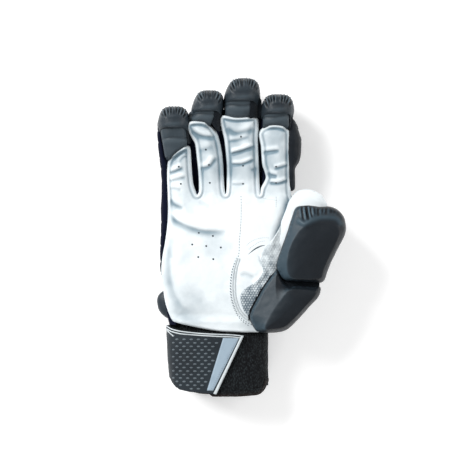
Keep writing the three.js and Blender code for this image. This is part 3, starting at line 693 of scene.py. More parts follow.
# Folds: a valley along the points, its depth and width, and a lip this much higher on its upper side
foldRows = [
    {"points": [(-71.3, 57.0), (-66.5, 58.2), (-59.5, 61.5)], "depth": 1.3, "width": 1.7, "lip": 0.7},
    {"points": [(-71.5, 49.6), (-65.5, 51.0), (-57.0, 53.2)], "depth": 1.0, "width": 1.5, "lip": 0.6},
    {"points": [(-71.0, 43.6), (-66.0, 42.8), (-61.0, 42.0)], "depth": 0.7, "width": 1.6, "lip": 0.4},
    {"points": [(-69.0, 69.5), (-62.5, 74.0), (-56.0, 76.8)], "depth": 1.3, "width": 2.2, "lip": 0.2},
    {"points": [(-63.0, 66.0), (-59.5, 70.5), (-56.0, 71.5)], "depth": 0.7, "width": 1.3, "lip": 0.4},
    {"points": [(-52.5, 93.5), (-44.5, 89.0), (-31.5, 87.5)], "depth": 1.5, "width": 2.2, "lip": 0.5},
    {"points": [(-45.5, 76.0), (-40.0, 77.5), (-33.0, 80.0)], "depth": 0.5, "width": 2.4, "lip": 0.2},
    {"points": [(-45.8, 60.5), (-36.8, 62.3), (-30.5, 70.5)], "depth": 1.1, "width": 1.8, "lip": 0.8},
    {"points": [(-21.5, 96.5), (-14.0, 91.5), (-3.0, 93.0), (3.0, 96.5)], "depth": 1.2, "width": 3.0, "lip": 0.2},
    {"points": [(-20.0, 84.5), (-11.5, 85.5), (-1.0, 88.5)], "depth": 0.8, "width": 1.6, "lip": 0.5},
    {"points": [(-17.5, 73.5), (-9.5, 75.5), (3.5, 80.2)], "depth": 1.7, "width": 1.5, "lip": 1.2},
    {"points": [(-17.5, 64.2), (-7.0, 64.6), (3.0, 68.8)], "depth": 1.3, "width": 1.3, "lip": 0.9},
    {"points": [(-17.0, 47.0), (-11.5, 46.6), (-5.0, 47.2)], "depth": 0.6, "width": 1.2, "lip": 0.3},
    {"points": [(0.0, 59.5), (3.5, 60.2), (6.5, 61.5)], "depth": 0.5, "width": 1.4, "lip": 0.3},
    {"points": [(9.5, 74.5), (17.0, 75.2), (25.5, 76.4)], "depth": 1.4, "width": 1.7, "lip": 0.7},
    {"points": [(13.5, 56.5), (18.0, 54.8), (23.5, 53.8)], "depth": 1.2, "width": 1.7, "lip": 0.6},
    {"points": [(20.5, 60.3), (27.0, 62.0), (32.5, 64.0)], "depth": 1.0, "width": 1.3, "lip": 0.7},
    {"points": [(16.0, 48.4), (24.0, 47.6), (32.5, 50.6)], "depth": 1.5, "width": 1.3, "lip": 0.9},
    {"points": [(-71.0, 34.0), (-67.0, 29.0), (-59.5, 25.5)], "depth": 1.0, "width": 2.0, "lip": 0.5},
    {"points": [(-71.5, 20.5), (-66.0, 14.5), (-55.5, 9.2), (-40.5, 5.2), (-21.0, 4.6)],
     "depth": 1.5, "width": 2.8, "lip": 1.1},
    {"points": [(-71.0, 4.0), (-72.5, -18.0), (-70.0, -42.0), (-63.5, -58.0), (-53.5, -67.0)],
     "depth": 0.6, "width": 3.2, "lip": 0.0},
    {"points": [(33.5, 36.0), (30.5, 19.5), (24.5, 2.0), (19.0, -21.5)], "depth": 1.8, "width": 5.0, "lip": 0.0},
    {"points": [(-46.0, 32.0), (-40.5, 29.5), (-35.0, 27.5)], "depth": 0.4, "width": 2.2, "lip": 0.2},
    {"points": [(7.4, -15.5), (8.6, -21.0), (13.2, -27.5)], "depth": 0.9, "width": 0.9, "lip": 0.6},
    {"points": [(-9.5, -33.5), (-4.0, -32.0), (4.0, -35.5)], "depth": 0.7, "width": 2.2, "lip": 0.6},
    {"points": [(2.5, -43.5), (11.0, -38.0), (17.0, -28.0)], "depth": 0.6, "width": 1.6, "lip": 0.5},
]


def foldHeights(spots, rows):  # the height that the folds add, below zero in a valley
    total = np.zeros(len(spots))
    for row in rows:
        line = curveThrough(row["points"], 8)
        gap, foot, place = lineDistance(spots, line)
        fade = np.clip(np.minimum(place, 1 - place) * 5, 0, 1) ** 0.7
        fade = np.where((place <= 0) | (place >= 1), 0, fade)
        above = np.sign(spots[:, 1] - foot[:, 1])
        side = np.where(above > 0, gap, -gap)
        valley = -row["depth"] * hump(np.where(side > 0, side / 0.7, side / 1.3), row["width"])
        lip = row["lip"] * hump(side - 1.9 * row["width"], 1.3 * row["width"])
        total += fade * (valley + lip)
    return total


palmOutline = curveThrough(palmLeather["outline"], 5, closed=True)

# The leather's ends on the fingers, where the strips run in under it
leatherEnds = {
    "little": [(-71.6, 69.5), (-66.0, 75.1), (-60.7, 78.6), (-55.8, 80.8)],
    "ring": [(-55.4, 100.2), (-51.0, 102.0), (-42.2, 102.0), (-36.0, 99.3)],
    "middle": [(-25.8, 106.7), (-22.7, 107.0), (-13.9, 105.5), (-4.2, 105.9), (2.9, 106.4)],
    "index": [(12.6, 97.6), (19.6, 99.1), (26.7, 98.5), (32.0, 96.2)],
}


def nearEnd(spots, reach):  # from 0 to 1 towards the middle of a leather end
    most = np.zeros(len(spots))
    for row in leatherEnds.values():
        gap, _, place = lineDistance(spots, np.array(row))
        most = np.maximum(most, ease(1 - gap / reach) * np.clip(np.minimum(place, 1 - place) * 5, 0, 1))
    return most


# Where the leather runs round between two fingers, at the palm's own height
webPoints = [(-47.2, 37.5), (-22.0, 38.0), (8.2, 38.0)]


def nearWeb(spots):
    return np.max([hump(np.hypot(spots[:, 0] - x, spots[:, 1] - y), 9.0) for x, y in webPoints], axis=0)


def palmFold(spots, gap):
    inner = np.clip((-gap - 1.5) / 3.0, 0, 1)
    return foldHeights(spots, foldRows) * (0.35 + 0.65 * inner)


def palmHeight(spots, gap):
    look = palmLeather
    onFingers = ease((spots[:, 1] - 24) / 16)
    crown = mix(look["palmCrown"], look["fingerCrown"], onFingers)
    drop = mix(look["palmDrop"], look["fingerDrop"], onFingers)
    depth = np.minimum(-gap, crown)
    atWrist = ease((-66 - spots[:, 1]) / 9)
    drop = drop * (1 - 0.85 * nearEnd(spots, 9.0)) * (1 - 0.9 * atWrist * ease((spots[:, 0] + 74) / 14))
    drop *= 1 - 0.8 * nearWeb(spots)
    tall = frontHeight(spots[:, 1]) - drop * (1 - depth / crown) ** 2.2 + 1.2 * atWrist
    seam = look["seamHeight"] * hump(depth - 1.5, look["seamWidth"])
    seam -= look["grooveDepth"] * hump(depth - 3.5, 0.75)
    seam += 0.3 * hump(depth - 4.9, 0.9)
    rounded = np.clip(1 - depth / look["edgeRound"], 0, 1)
    tall += seam * ease((spots[:, 1] - 18) / 16) - look["edgeRound"] * (1 - np.sqrt(1 - 0.98 * rounded ** 2))
    surface = np.column_stack([spots, tall])
    wear = ripple(surface, 9.0) * 0.35 + ripple(surface, 3.6, 7.0) * 0.16
    thumbSwell = 2.5 * hump(np.hypot(spots[:, 0] - 8, (spots[:, 1] + 38) * 0.6), 22)
    return tall + palmFold(spots, gap) + wear * ease(depth / 5) + thumbSwell


def addPalmLeather():
    mesh = panelMesh("palmLeather", palmOutline, palmLeather["cell"], palmHeight, palmLeather["hem"], palmLeather["wall"])
    points = corners(mesh)
    gap, _, _ = lineDistance(points[:, :2], palmOutline, closed=True)
    # Painted shade and painted highlight for the leather's colour: shade in the seam groove, under the leather's ends
    # beneath the strips, along the sides, over the fingers and at the thumb's root; the border paints a highlight on
    # the rolled rim and shade just inside it
    grooveShade = 0.8 * hump(-gap - 3.4, 0.9) * ease((points[:, 1] - 18) / 16)
    endShade = 1.5 * hump(-gap - 3.8, 1.5) * nearEnd(points[:, :2], 7.0)
    border = (0.6 * hump(-gap - 0.6, 0.7) - 0.2 * hump(-gap - 2.0, 0.8)) * ease((points[:, 1] - 18) / 16)
    sideShade = 0.2 * hump(-gap - 6.0, 3.5)
    fingerShade = ease((points[:, 1] - 44) / 16) * (0.55 + 0.5 * ripple(points, 12.0, 4.0))
    thumbShade = 0.5 * hump(np.hypot(points[:, 0] - 33, (points[:, 1] - 6) * 0.5), 9)
    shade = grooveShade + endShade + sideShade + np.maximum(fingerShade, 0) + thumbShade
    writeFold(mesh, palmFold(points[:, :2], gap) - shade + border)
    return addPiece("palmLeather", mesh, "whiteLeather", ["palm_leather"])


# The side walls and the back of the hand and the fingers

skin = {
    "voxel": 1.05,
    "wall": 1.2,
    "palmInset": 0.7,
    "fingerInset": 0.9,
    "underLeather": -1.6,
    "tuck": 0.45,
    "tuckReach": 3.6,
    "smoothing": 10,
}

# The thumb's sheath, in its own frame: along is a share of its length, width of its width
thumb = {
    "rootX": 10.5, "rootY": -63.0, "angle": 24.0, "length": 114.0, "width": 35.0, "depth": 27.0,
    "centreZ": 35.0, "lift": 3.0, "power": 2.4, "wall": 1.3,
    "rows": [
        {"along": 0.06, "width": 0.8},
        {"along": 0.25, "width": 0.95},
        {"along": 0.6, "width": 1.0},
        {"along": 0.84, "width": 1.0},
        {"along": 0.94, "width": 0.86},
        {"along": 1.0, "width": 0.5},
    ],
}


def sectionPoint(u, centreX, y, centreZ, halfWidth, halfDepth, power):
    angle = 2 * math.pi * u
    x = centreX + halfWidth * signedPower(math.cos(angle), 2 / power)
    return x, y, centreZ + halfDepth * signedPower(math.sin(angle), 2 / power)


def palmTube(u, t):
    inner = clamp((t - 0.04) / 0.92)
    y = mix(wristY - 1.0, hand["webY"] + 1.5, inner)
    x, z, halfWidth, halfDepth = palmSection(y)
    size = 1.0 if 0.02 < t < 0.98 else 0.0
    inset = skin["palmInset"]
    return sectionPoint(u, x, y, z, (halfWidth - inset) * size, (halfDepth - inset) * size, 2.9)


def fingerTube(finger):
    inset = skin["fingerInset"]
    domeFrom = 1 - 0.45 * hand["fingerDepth"] / finger["length"]

    def place(u, t):
        along = mix(-0.2, 1.0, t)
        x, z, halfWidth, halfDepth = fingerSection(finger, along)
        over = clamp((along - domeFrom) / (1 - domeFrom))
        size = math.sqrt(max(0.0, 1 - over ** 2)) if t > 0 else 0.0
        y = hand["webY"] + along * finger["length"]
        return sectionPoint(u, x, y, z, (halfWidth - inset) * size, (halfDepth - inset) * size, 2.6)

    return place


def seamHeight(y, share):  # the height of a seam along the glove, share 0 at the back and 1 at the palm side
    reach = np.clip((y - hand["webY"]) / longestFinger, 0, 1)
    fingerZ = hand["padDepth"] + 1 + hand["fingerLift"] * reach ** 2 + share * hand["fingerDepth"]
    palmZ = hand["padDepth"] + share * hand["palmDepth"] * np.interp(
        y, [wristY + row["along"] * hand["palmLength"] for row in palmRows], [row["depth"] for row in palmRows])
    return np.where(y < hand["webY"], palmZ, fingerZ)


def thumbFrame(points):  # from the hand's frame to the thumb's own
    turn = math.radians(thumb["angle"])
    x, y = points[:, 0] - thumb["rootX"], points[:, 1] - thumb["rootY"]
    return np.column_stack([x * math.cos(turn) - y * math.sin(turn), x * math.sin(turn) + y * math.cos(turn), points[:, 2]])


def thumbPlace(u, t):
    along = mix(0.06, 1.0, 1 - (1 - t) ** 1.5)
    row = readRow(thumb["rows"], along)
    turn = math.radians(thumb["angle"])
    end = clamp((along - 0.93) / 0.07)
    size = math.sqrt(max(0.0, 1 - end ** 2))
    centreZ = thumb["centreZ"] + thumb["lift"] * along
    wide = thumb["width"] * mix(row["width"], 0.82, end) / 2 * size
    deep = thumb["depth"] * row["width"] ** 0.5 / 2 * size
    x, y, z = sectionPoint(u, 0, along * thumb["length"], centreZ, wide, deep, thumb["power"])
    return (thumb["rootX"] + x * math.cos(turn) + y * math.sin(turn),
            thumb["rootY"] - x * math.sin(turn) + y * math.cos(turn), z)


def insideThumb(points, share):
    own = thumbFrame(points)
    along = own[:, 1] / thumb["length"]
    width = np.interp(along, [row["along"] for row in thumb["rows"]], [row["width"] for row in thumb["rows"]])
    across = np.abs(own[:, 0]) / (thumb["width"] * width / 2)
    high = np.abs(own[:, 2] - thumb["centreZ"] - thumb["lift"] * along) / (thumb["depth"] / 2)
    return (along > 0.0) & (along < 1.0) & (across ** thumb["power"] + high ** thumb["power"] < share)


def insidePalm(points, share):
    rows = np.array([palmSection(y) for y in np.linspace(wristY - 5, hand["webY"] + 8, 60)])
    y = np.linspace(wristY - 5, hand["webY"] + 8, 60)
    x, z, wide, deep = (np.interp(points[:, 1], y, rows[:, i]) for i in range(4))
    at = (np.abs(points[:, 0] - x) / wide) ** 2.9 + (np.abs(points[:, 2] - z) / deep) ** 2.9
    return (points[:, 1] < hand["webY"] + 3) & (at < share)


def faceCentres(mesh):
    centres = np.empty(len(mesh.polygons) * 3)
    mesh.polygons.foreach_get("center", centres)
    return centres.reshape(-1, 3) / mm


def keepFaces(mesh, keep):  # a copy of the mesh with only the faces that are kept
    work = bmesh.new()
    work.from_mesh(mesh)
    work.faces.ensure_lookup_table()
    bmesh.ops.delete(work, geom=[work.faces[i] for i in np.flatnonzero(~keep)], context="FACES")
    return work


def snapBorder(work, share):  # brings the ragged border along a seam to the seam's own height
    for vert in work.verts:
        if vert.is_boundary:
            target = float(seamHeight(np.array([vert.co.y / mm]), share)[0]) * mm
            if abs(vert.co.z - target) < 1.6 * skin["voxel"] * mm:
                vert.co.z = target


def tuckUnderLeather(mesh):  # lowers the cloth beside the leather's edge to just under that edge
    points = corners(mesh)
    gap, foot, _ = lineDistance(points[:, :2], palmOutline, closed=True)
    near = (gap > 1.5 * skin["underLeather"]) & (gap < skin["tuckReach"])
    near &= points[:, 2] > seamHeight(points[:, 1], 0.45)
    edge = palmHeight(foot[near], np.zeros(near.sum())) - skin["tuck"]
    points[near, 2] = np.minimum(points[near, 2], edge)
    putCorners(mesh, points)


def addSkin():
    whole = wrapGrid(96, 60, palmTube)
    for finger in fingers.values():
        part = toMesh(wrapGrid(56, 60, fingerTube(finger)), "part")
        whole.from_mesh(part)
        bpy.data.meshes.remove(part)
    mesh = evaluated(toMesh(whole, "skin"), [
        ("REMESH", {"mode": "VOXEL", "voxel_size": skin["voxel"] * mm}),
        ("SMOOTH", {"factor": 0.5, "iterations": skin["smoothing"]}),
    ])
    tuckUnderLeather(mesh)
    centres = faceCentres(mesh)
    gap, _, _ = lineDistance(centres[:, :2], palmOutline, closed=True)
    middle = seamHeight(centres[:, 1], 0.5)
    atWrist = (centres[:, 1] < -66) & (centres[:, 0] > -66)
    front = (centres[:, 2] > middle) & ((gap < skin["underLeather"]) | atWrist)
    opened = (centres[:, 1] < wristY + 0.6) | insideThumb(centres, 0.8)
    back = centres[:, 2] < seamHeight(centres[:, 1], hand["backSeam"])
    pieces = []
    for name, keep, finish, slot, node in (
        ("gusset", ~back & ~front & ~opened, "navyFabric", "navy_fabric", "gusset"),
        ("backShell", back & ~front & ~opened, "blackFabric", "black_fabric", "back_shell"),
    ):
        work = keepFaces(mesh, keep)
        snapBorder(work, hand["backSeam"])
        made = thickened(toMesh(work, name), skin["wall"])
        pieces.append(addPiece(name, made, finish, [node]))
    bpy.data.meshes.remove(mesh)
    return pieces


def addThumbLeather():
    mesh = toMesh(wrapGrid(64, 70, thumbPlace), "thumbSheath")
    centres = faceCentres(mesh)
    work = keepFaces(mesh, ~insidePalm(centres, 0.93))
    made = toMesh(work, "thumbLeather")
    points = corners(made)
    own = thumbFrame(points)
    seam = hump(own[:, 2] - thumb["centreZ"] - 3 - thumb["depth"] * 0.23, 1.0)
    lift = 0.8 * seam - 0.25 + 0.5 * ripple(points, 11.0, 3.0) + 0.25 * ripple(points, 4.0, 9.0)
    putCorners(made, points + cornerNormals(made) * lift[:, None])
    writeFold(made, 0.4 * np.minimum(0, ripple(points, 5.0, 2.0)))
    made = thickened(made, thumb["wall"])
    return addPiece("thumbLeather", made, "whiteLeather", ["thumb_leather"])


# Navy cloth that joins the fingers' walls behind the gaps
fingerWebs = {
    "littleWeb": [(-50.0, 34.0), (-57.0, 60.0), (-58.5, 80.0), (-60.0, 100.0), (-50.0, 104.0),
                  (-43.0, 80.0), (-41.0, 60.0), (-42.0, 36.0)],
    "ringWeb": [(-25.0, 34.0), (-29.0, 60.0), (-31.0, 80.0), (-36.0, 104.0), (-19.0, 112.0), (-16.5, 80.0),
                (-16.0, 60.0), (-18.0, 34.0)],
    "middleWeb": [(4.0, 34.0), (2.0, 60.0), (2.0, 80.0), (3.0, 112.0), (14.0, 112.0), (15.0, 80.0),
                  (18.0, 56.0), (13.0, 36.0)],
}


def addFingerWebs():
    def height(spots, gap):
        reach = np.clip((spots[:, 1] - hand["webY"]) / longestFinger, 0, 1)
        return hand["padDepth"] + 1 + 0.42 * hand["fingerDepth"] + hand["fingerLift"] * reach ** 2

    for name, row in fingerWebs.items():
        mesh = panelMesh(name, curveThrough(row, 4, closed=True), 1.5, height, (), 0.8)
        addPiece(name, mesh, "navyFabric")


leather = addPalmLeather()
gusset, backShell = addSkin()
addFingerWebs()
thumbLeather = addThumbLeather()
print("hand built", len(leather.data.vertices), len(gusset.data.vertices), len(backShell.data.vertices))

# Hoods over the finger ends, the strips below them and the knitted panels beside the strips

hoods = {
    "wall": 2.2,
    "overhang": 1.9,
    "rise": 3.0,
    "drop": 15.0,
    "backReach": 7.0,
    "tipWall": 5.0,
    "sideReach": 5.0,
    "squareness": 3.4,
    "power": 2.8,
    "pleatDepth": 1.0,
    "pleats": {"little": 9, "ring": 10, "middle": 12, "index": 10},
}


def hoodPlace(finger):
    front = hand["webY"] + finger["cap"] * finger["length"]
    tip = hand["webY"] + finger["length"] + hoods["tipWall"]

    def place(u, t):
        lift = math.sin(2 * math.pi * u)
        side = abs(math.cos(2 * math.pi * u)) ** 4
        start = front - max(hoods["backReach"] * float(ease((0.25 - lift) / 0.7)), hoods["sideReach"] * side)
        swing = t * math.pi / 2
        half = tip - start
        y = start + half * math.sin(swing) ** (2 / hoods["squareness"])
        size = math.cos(swing) ** (2 / hoods["squareness"]) if t < 1 else 0.0
        x, z, halfWidth, halfDepth = fingerSection(finger, (y - hand["webY"]) / finger["length"])
        top = z + halfDepth + hoods["rise"]
        bottom = max(z - halfDepth - hoods["drop"], 0.4)
        wide = halfWidth + hoods["overhang"] * (0.35 + 0.65 * float(ease((y - start) / 9)))
        return sectionPoint(u, x, y, (top + bottom) / 2, wide * size, (top - bottom) / 2 * size, hoods["power"])

    return place


def addHood(name, finger, seed):
    mesh = toMesh(wrapGrid(144, 60, hoodPlace(finger)), name)
    points = corners(mesh)
    normals = cornerNormals(mesh)
    tip = hand["webY"] + finger["length"] + hoods["tipWall"]
    front = hand["webY"] + finger["cap"] * finger["length"]
    x, z, wide, _ = fingerSection(finger, 1.0)
    count = hoods["pleats"][name]
    fold = np.zeros(len(points))
    onFront = ease((points[:, 2] - z) / 5)
    random = np.random.default_rng(seed)
    for k in range(count):  # gathers that run in from the rim of the hood
        spread = (k + 0.5) / count * 2 - 1
        rimX = x + spread * (wide + 0.5)
        rimY = tip - 1.5 - 5.5 * abs(spread) ** 2.6
        length = random.uniform(5.0, 8.0)
        line = np.array([(rimX, rimY + 2), (rimX - spread * 3.2 + random.uniform(-0.5, 0.5), rimY - length)])
        gap, _, place = lineDistance(points[:, :2], line)
        fade = np.where(place >= 1, 0, np.clip((1 - place) * 2.4, 0, 1))
        width = random.uniform(0.6, 0.85)
        fold -= random.uniform(1.0, 1.6) * hump(gap, width) * fade
        fold += random.uniform(0.4, 0.8) * hump(gap - 1.35, 0.55) * fade
    fold *= hoods["pleatDepth"] * onFront
    brow = front + 3.4 + 0.5 * np.sin((points[:, 0] - x) / 5)
    across = hump(points[:, 0] - x, 0.62 * wide)
    fold += 0.35 * hump(points[:, 1] - brow, 1.5) * onFront * across
    fold -= 0.3 * hump(points[:, 1] - brow - 4.2, 1.6) * onFront * across
    rim = 0.35 * hump(points[:, 1] - front - 1.2, 0.9) * onFront
    rough = 0.22 * ripple(points, 6.0, seed) + 0.12 * ripple(points, 2.4, seed + 4.0)
    sideSeam = -0.6 * hump(points[:, 2] - z + 2.5, 0.8) * ease((tip - points[:, 1]) / 3)
    putCorners(mesh, points + normals * (fold + rough + sideSeam + rim)[:, None])
    # The fold attribute paints shade in the gathers' valleys, the shallow band below the brow and the side seam, and a
    # highlight on the gathers' lips and on the brow above the front edge
    writeFold(mesh, fold + sideSeam)
    made = thickened(mesh, hoods["wall"])
    piece = addPiece("hood" + name.title(), made, "slatePadding", ["finger_cap_" + name])
    return piece


# Strips below the hoods: outlines in millimetres
stripRows = {
    "little": [(-79.0, 95.5), (-70.0, 97.5), (-60.5, 98.0), (-57.4, 95.0), (-56.2, 86.0), (-57.5, 78.0),
               (-66.0, 72.0), (-73.0, 68.0), (-75.6, 72.0), (-77.6, 83.0)],
    "ring": [(-53.5, 110.6), (-43.5, 113.5), (-34.5, 114.0), (-32.0, 109.5), (-34.2, 101.2), (-37.0, 98.2),
             (-44.0, 98.8), (-52.4, 98.2), (-55.0, 102.5)],
    "middle": [(-21.6, 122.6), (-11.0, 123.4), (-1.2, 123.2), (-0.6, 113.0), (-2.2, 102.8), (-11.5, 102.4),
               (-21.4, 103.4), (-22.3, 113.0)],
    "index": [(12.3, 110.6), (22.0, 112.4), (32.0, 111.4), (33.4, 103.5), (32.4, 94.6), (22.0, 95.4),
              (11.8, 94.2), (10.8, 103.0)],
}
strips = {"cell": 0.6, "wall": 1.1, "lift": 1.5, "edge": 1.3}


def fingerTop(finger, spots):  # the height of a finger's palm side under spots
    y = np.linspace(hand["webY"], hand["webY"] + finger["length"], 40)
    rows = np.array([fingerSection(finger, (v - hand["webY"]) / finger["length"]) for v in y])
    x, z, wide, deep = (np.interp(spots[:, 1], y, rows[:, i]) for i in range(4))
    across = np.clip(np.abs(spots[:, 0] - x) / wide, 0, 0.985)
    return z + deep * (1 - across ** 2.6) ** (1 / 2.6)


def addStrip(name, finger):
    outline = curveThrough(stripRows[name], 6, closed=True)
    centre = outline.mean(axis=0)

    def creaseAt(spots):
        return centre[1] + 3.2 + 0.05 * (spots[:, 0] - centre[0]) + 0.5 * np.sin(spots[:, 0] / 4)

    def height(spots, gap):
        depth = -gap
        edge = -strips["edge"] * (1 - np.clip(depth / 1.6, 0, 1)) ** 2
        above = spots[:, 1] - creaseAt(spots)
        crease = -0.4 * hump(above, 0.9) + 0.3 * hump(above + 2.6, 1.7)
        rough = 0.25 * ripple(np.column_stack([spots, depth * 0]), 6.0, centre[0])
        end = np.array(leatherEnds[name])
        beyond = spots[:, 1] - np.interp(spots[:, 0], end[:, 0], end[:, 1])
        lift = mix(-2.6, strips["lift"], ease((beyond + 1.2) / 3.2))
        return fingerTop(finger, spots) + lift + edge + crease + rough

    mesh = panelMesh("strip" + name, outline, strips["cell"], height, [(0.1, -0.8), (-0.1, -1.0)], strips["wall"])
    points = corners(mesh)
    line = creaseAt(points)
    # Painted highlight on the band above the crease and painted shade in the crease
    writeFold(mesh, 0.35 * hump(points[:, 1] - line + 3.0, 2.0) - 0.6 * hump(points[:, 1] - line, 0.9))
    return addPiece("strip" + name.title(), mesh, "slateSmooth", ["finger_band_" + name])


# Outlines of the knitted panels that show at the right of each strip
sideKnitRows = {
    "little": [(-57.5, 97.0), (-54.0, 98.5), (-52.6, 92.0), (-52.6, 84.0), (-55.6, 83.0), (-57.0, 89.0)],
    "ring": [(-32.0, 112.0), (-26.5, 112.8), (-25.0, 104.0), (-26.0, 95.0), (-29.4, 94.0), (-34.0, 101.0)],
    "middle": [(-0.6, 122.0), (8.5, 122.6), (9.4, 113.0), (8.0, 105.5), (4.0, 105.8), (-1.6, 105.8)],
    "index": [(33.5, 109.6), (37.0, 110.0), (37.0, 102.0), (35.6, 95.0), (33.6, 96.6), (34.2, 103.0)],
}
sideKnit = {"cell": 0.6, "lift": 0.5, "pitch": 2.3}


def addSideKnit(name, finger):
    outline = curveThrough(sideKnitRows[name], 6, closed=True)

    def height(spots, gap):
        lattice = 0.5 * (np.cos(spots[:, 0] * 2 * math.pi / sideKnit["pitch"]) *
                         np.cos(spots[:, 1] * 2 * math.pi / sideKnit["pitch"]))
        return fingerTop(finger, spots) + sideKnit["lift"] + lattice * ease(-gap / 1.5)

    mesh = panelMesh("sideKnit" + name, outline, sideKnit["cell"], height, [(0.0, -1.2)], 0.9)
    return addPiece("sideKnit" + name.title(), mesh, "blackKnit")


for number, (fingerName, finger) in enumerate(fingers.items()):
    addHood(fingerName, finger, 11 + number)
    addStrip(fingerName, finger)
    addSideKnit(fingerName, finger)
print("finger ends built")

# Padded rolls behind the fingers and the hand: from and to are shares of the finger's length,
# or of palmLength below the roots where they are below zero
rolls = {
    "nest": 3.4,
    "flat": 1.8,
    "squareness": 3.4,
    "power": 2.5,
    "rows": [
        {"node": "finger_pad_%s_2", "name": "rollUpper", "from": 0.44, "to": 0.72, "width": 1.08, "cushions": 1},
        {"node": "finger_pad_%s_1", "name": "rollLower", "from": 0.13, "to": 0.42, "width": 1.08, "cushions": 1},
        {"node": "knuckle_pad_%s", "name": "knuckleRoll", "from": -0.21, "to": 0.1, "width": 1.08, "cushions": 1},
        {"node": "hand_roll_%s", "name": "handRoll", "from": -0.68, "to": -0.22, "width": 1.0, "cushions": 2},
    ],
}


def rollSection(finger, y):
    if y >= hand["webY"]:
        x, z, wide, deep = fingerSection(finger, (y - hand["webY"]) / finger["length"])
        under = z - deep
        return x, under - hand["padDepth"], under + rolls["nest"], wide
    row = readRow(palmRows, (y - wristY) / hand["palmLength"])
    x = hand["palmCentreX"] + (row["shift"] + finger["root"] * row["width"]) * hand["palmWidth"]
    return x, -rolls["flat"], hand["padDepth"] + rolls["nest"], finger["width"] * row["width"] / 2


def rollPlace(finger, row):
    ends = [hand["webY"] + (finger["length"] if row[k] >= 0 else hand["palmLength"]) * row[k] for k in ("from", "to")]

    def place(u, t):
        swing = -math.cos(math.pi * t)
        size = math.sin(math.pi * t) ** (2 / rolls["squareness"]) if 0 < t < 1 else 0.0
        y = (ends[0] + ends[1]) / 2 + (ends[1] - ends[0]) / 2 * signedPower(swing, 2 / rolls["squareness"])
        x, bottom, top, wide = rollSection(finger, y)
        point = sectionPoint(u, x, y, (top + bottom) / 2, wide * row["width"] * size, (top - bottom) / 2 * size, rolls["power"])
        return point[0], point[1], max(point[2], 0.35)

    return place, ends


def creased(mesh, crease, seed, rough=0.25):  # sinks creases into a closed form and roughens it a little
    points = corners(mesh)
    normals = cornerNormals(mesh)
    lift = crease(points) + rough * ripple(points, 7.0, seed) + 0.4 * rough * ripple(points, 2.6, seed + 5.0)
    moved = points + normals * lift[:, None]
    moved[:, 2] = np.maximum(moved[:, 2], 0.3)
    putCorners(mesh, moved)
    # The creases go into the fold attribute, which the leather finishes paint as shade
    writeFold(mesh, np.minimum(0, crease(points)))
    return mesh


# The pads' cloth is blown up a little by the pressure of their filling
filling = {"voxel": 1.9, "pressure": 40.0, "mass": 0.001, "stiffness": 5.0, "frames": 20, "most": 1.3, "start": -0.7}


def puffed(mesh):
    look = filling
    points = corners(mesh)
    putCorners(mesh, points + look["start"] * cornerNormals(mesh))
    skinMesh = evaluated(mesh, [("REMESH", {"mode": "VOXEL", "voxel_size": look["voxel"] * mm})])
    name = mesh.name
    bpy.data.meshes.remove(mesh)
    pad = newObject("pad", skinMesh)
    cloth = pad.modifiers.new("Cloth", "CLOTH")
    cloth.settings.mass = look["mass"]
    cloth.settings.use_pressure = True
    cloth.settings.uniform_pressure_force = look["pressure"]
    cloth.settings.tension_stiffness = look["stiffness"]
    cloth.settings.compression_stiffness = look["stiffness"]
    cloth.settings.effector_weights.gravity = 0
    cloth.point_cache.frame_start = 1
    cloth.point_cache.frame_end = look["frames"]
    for frameNumber in range(1, look["frames"] + 1):
        bpy.context.scene.frame_set(frameNumber)
    blown = corners(pad.evaluated_get(bpy.context.evaluated_depsgraph_get()).data)
    bpy.context.scene.frame_set(1)
    bpy.data.objects.remove(pad)
    before = corners(skinMesh)
    step = blown - before
    length = np.linalg.norm(step, axis=1)[:, None] + 1e-9
    putCorners(skinMesh, before + step / length * np.minimum(length, look["most"]))
    done = evaluated(skinMesh, [("SUBSURF", {"levels": 1, "render_levels": 1})])
    bpy.data.meshes.remove(skinMesh)
    done.name = name
    return done


def addRoll(name, finger, row, seed):
    place, ends = rollPlace(finger, row)
    mesh = puffed(toMesh(wrapGrid(64, 48, place), row["name"]))
    random = np.random.default_rng(seed)
    phases = random.uniform(0, 6, 3)

    def crease(points):
        edge = np.minimum(points[:, 1] - ends[0], ends[1] - points[:, 1])
        section = np.array([rollSection(finger, y) for y in np.linspace(ends[0], ends[1], 12)])
        y = np.linspace(ends[0], ends[1], 12)
        x = np.interp(points[:, 1], y, section[:, 0])
        side = np.abs(points[:, 0] - x) / (np.interp(points[:, 1], y, section[:, 3]) * row["width"])
        gather = -0.45 * hump(edge - 2.2, 2.4) * np.maximum(0, np.sin(points[:, 0] * 1.9 + phases[0])) ** 3
        seam = -0.9 * hump(edge - 3.4, 0.7)
        sideSeam = -0.7 * hump((side - 0.93) * 10, 1.0)
        channel = np.zeros(len(points))
        for k in range(1, row["cushions"]):
            at = mix(ends[0], ends[1], k / row["cushions"])
            channel -= 2.4 * hump(points[:, 1] - at - 1.2 * np.sin(points[:, 0] / 9 + phases[1]), 1.5)
        return gather + seam + sideSeam + channel

    creased(mesh, crease, seed)
    piece = addPiece(row["name"] + name.title(), mesh, "slatePadding", [row["node"] % name])
    return piece


for number, (fingerName, finger) in enumerate(fingers.items()):
    for place, row in enumerate(rolls["rows"]):
        addRoll(fingerName, finger, row, 30 + 7 * number + place)
print("rolls built")

# Padding along the outside of the little finger, outside the index finger and across the wrist

edgePads = {
    "barReach": 4.4, "barDepth": 22.0, "barFrom": -33.0, "barTo": 105.0,
    "indexReach": 9.0, "indexDepth": 24.0, "indexFrom": 41.0, "indexTo": 105.0,
    "wristReach": 7.0, "wristDepth": 24.0, "wristLength": 37.0,
}


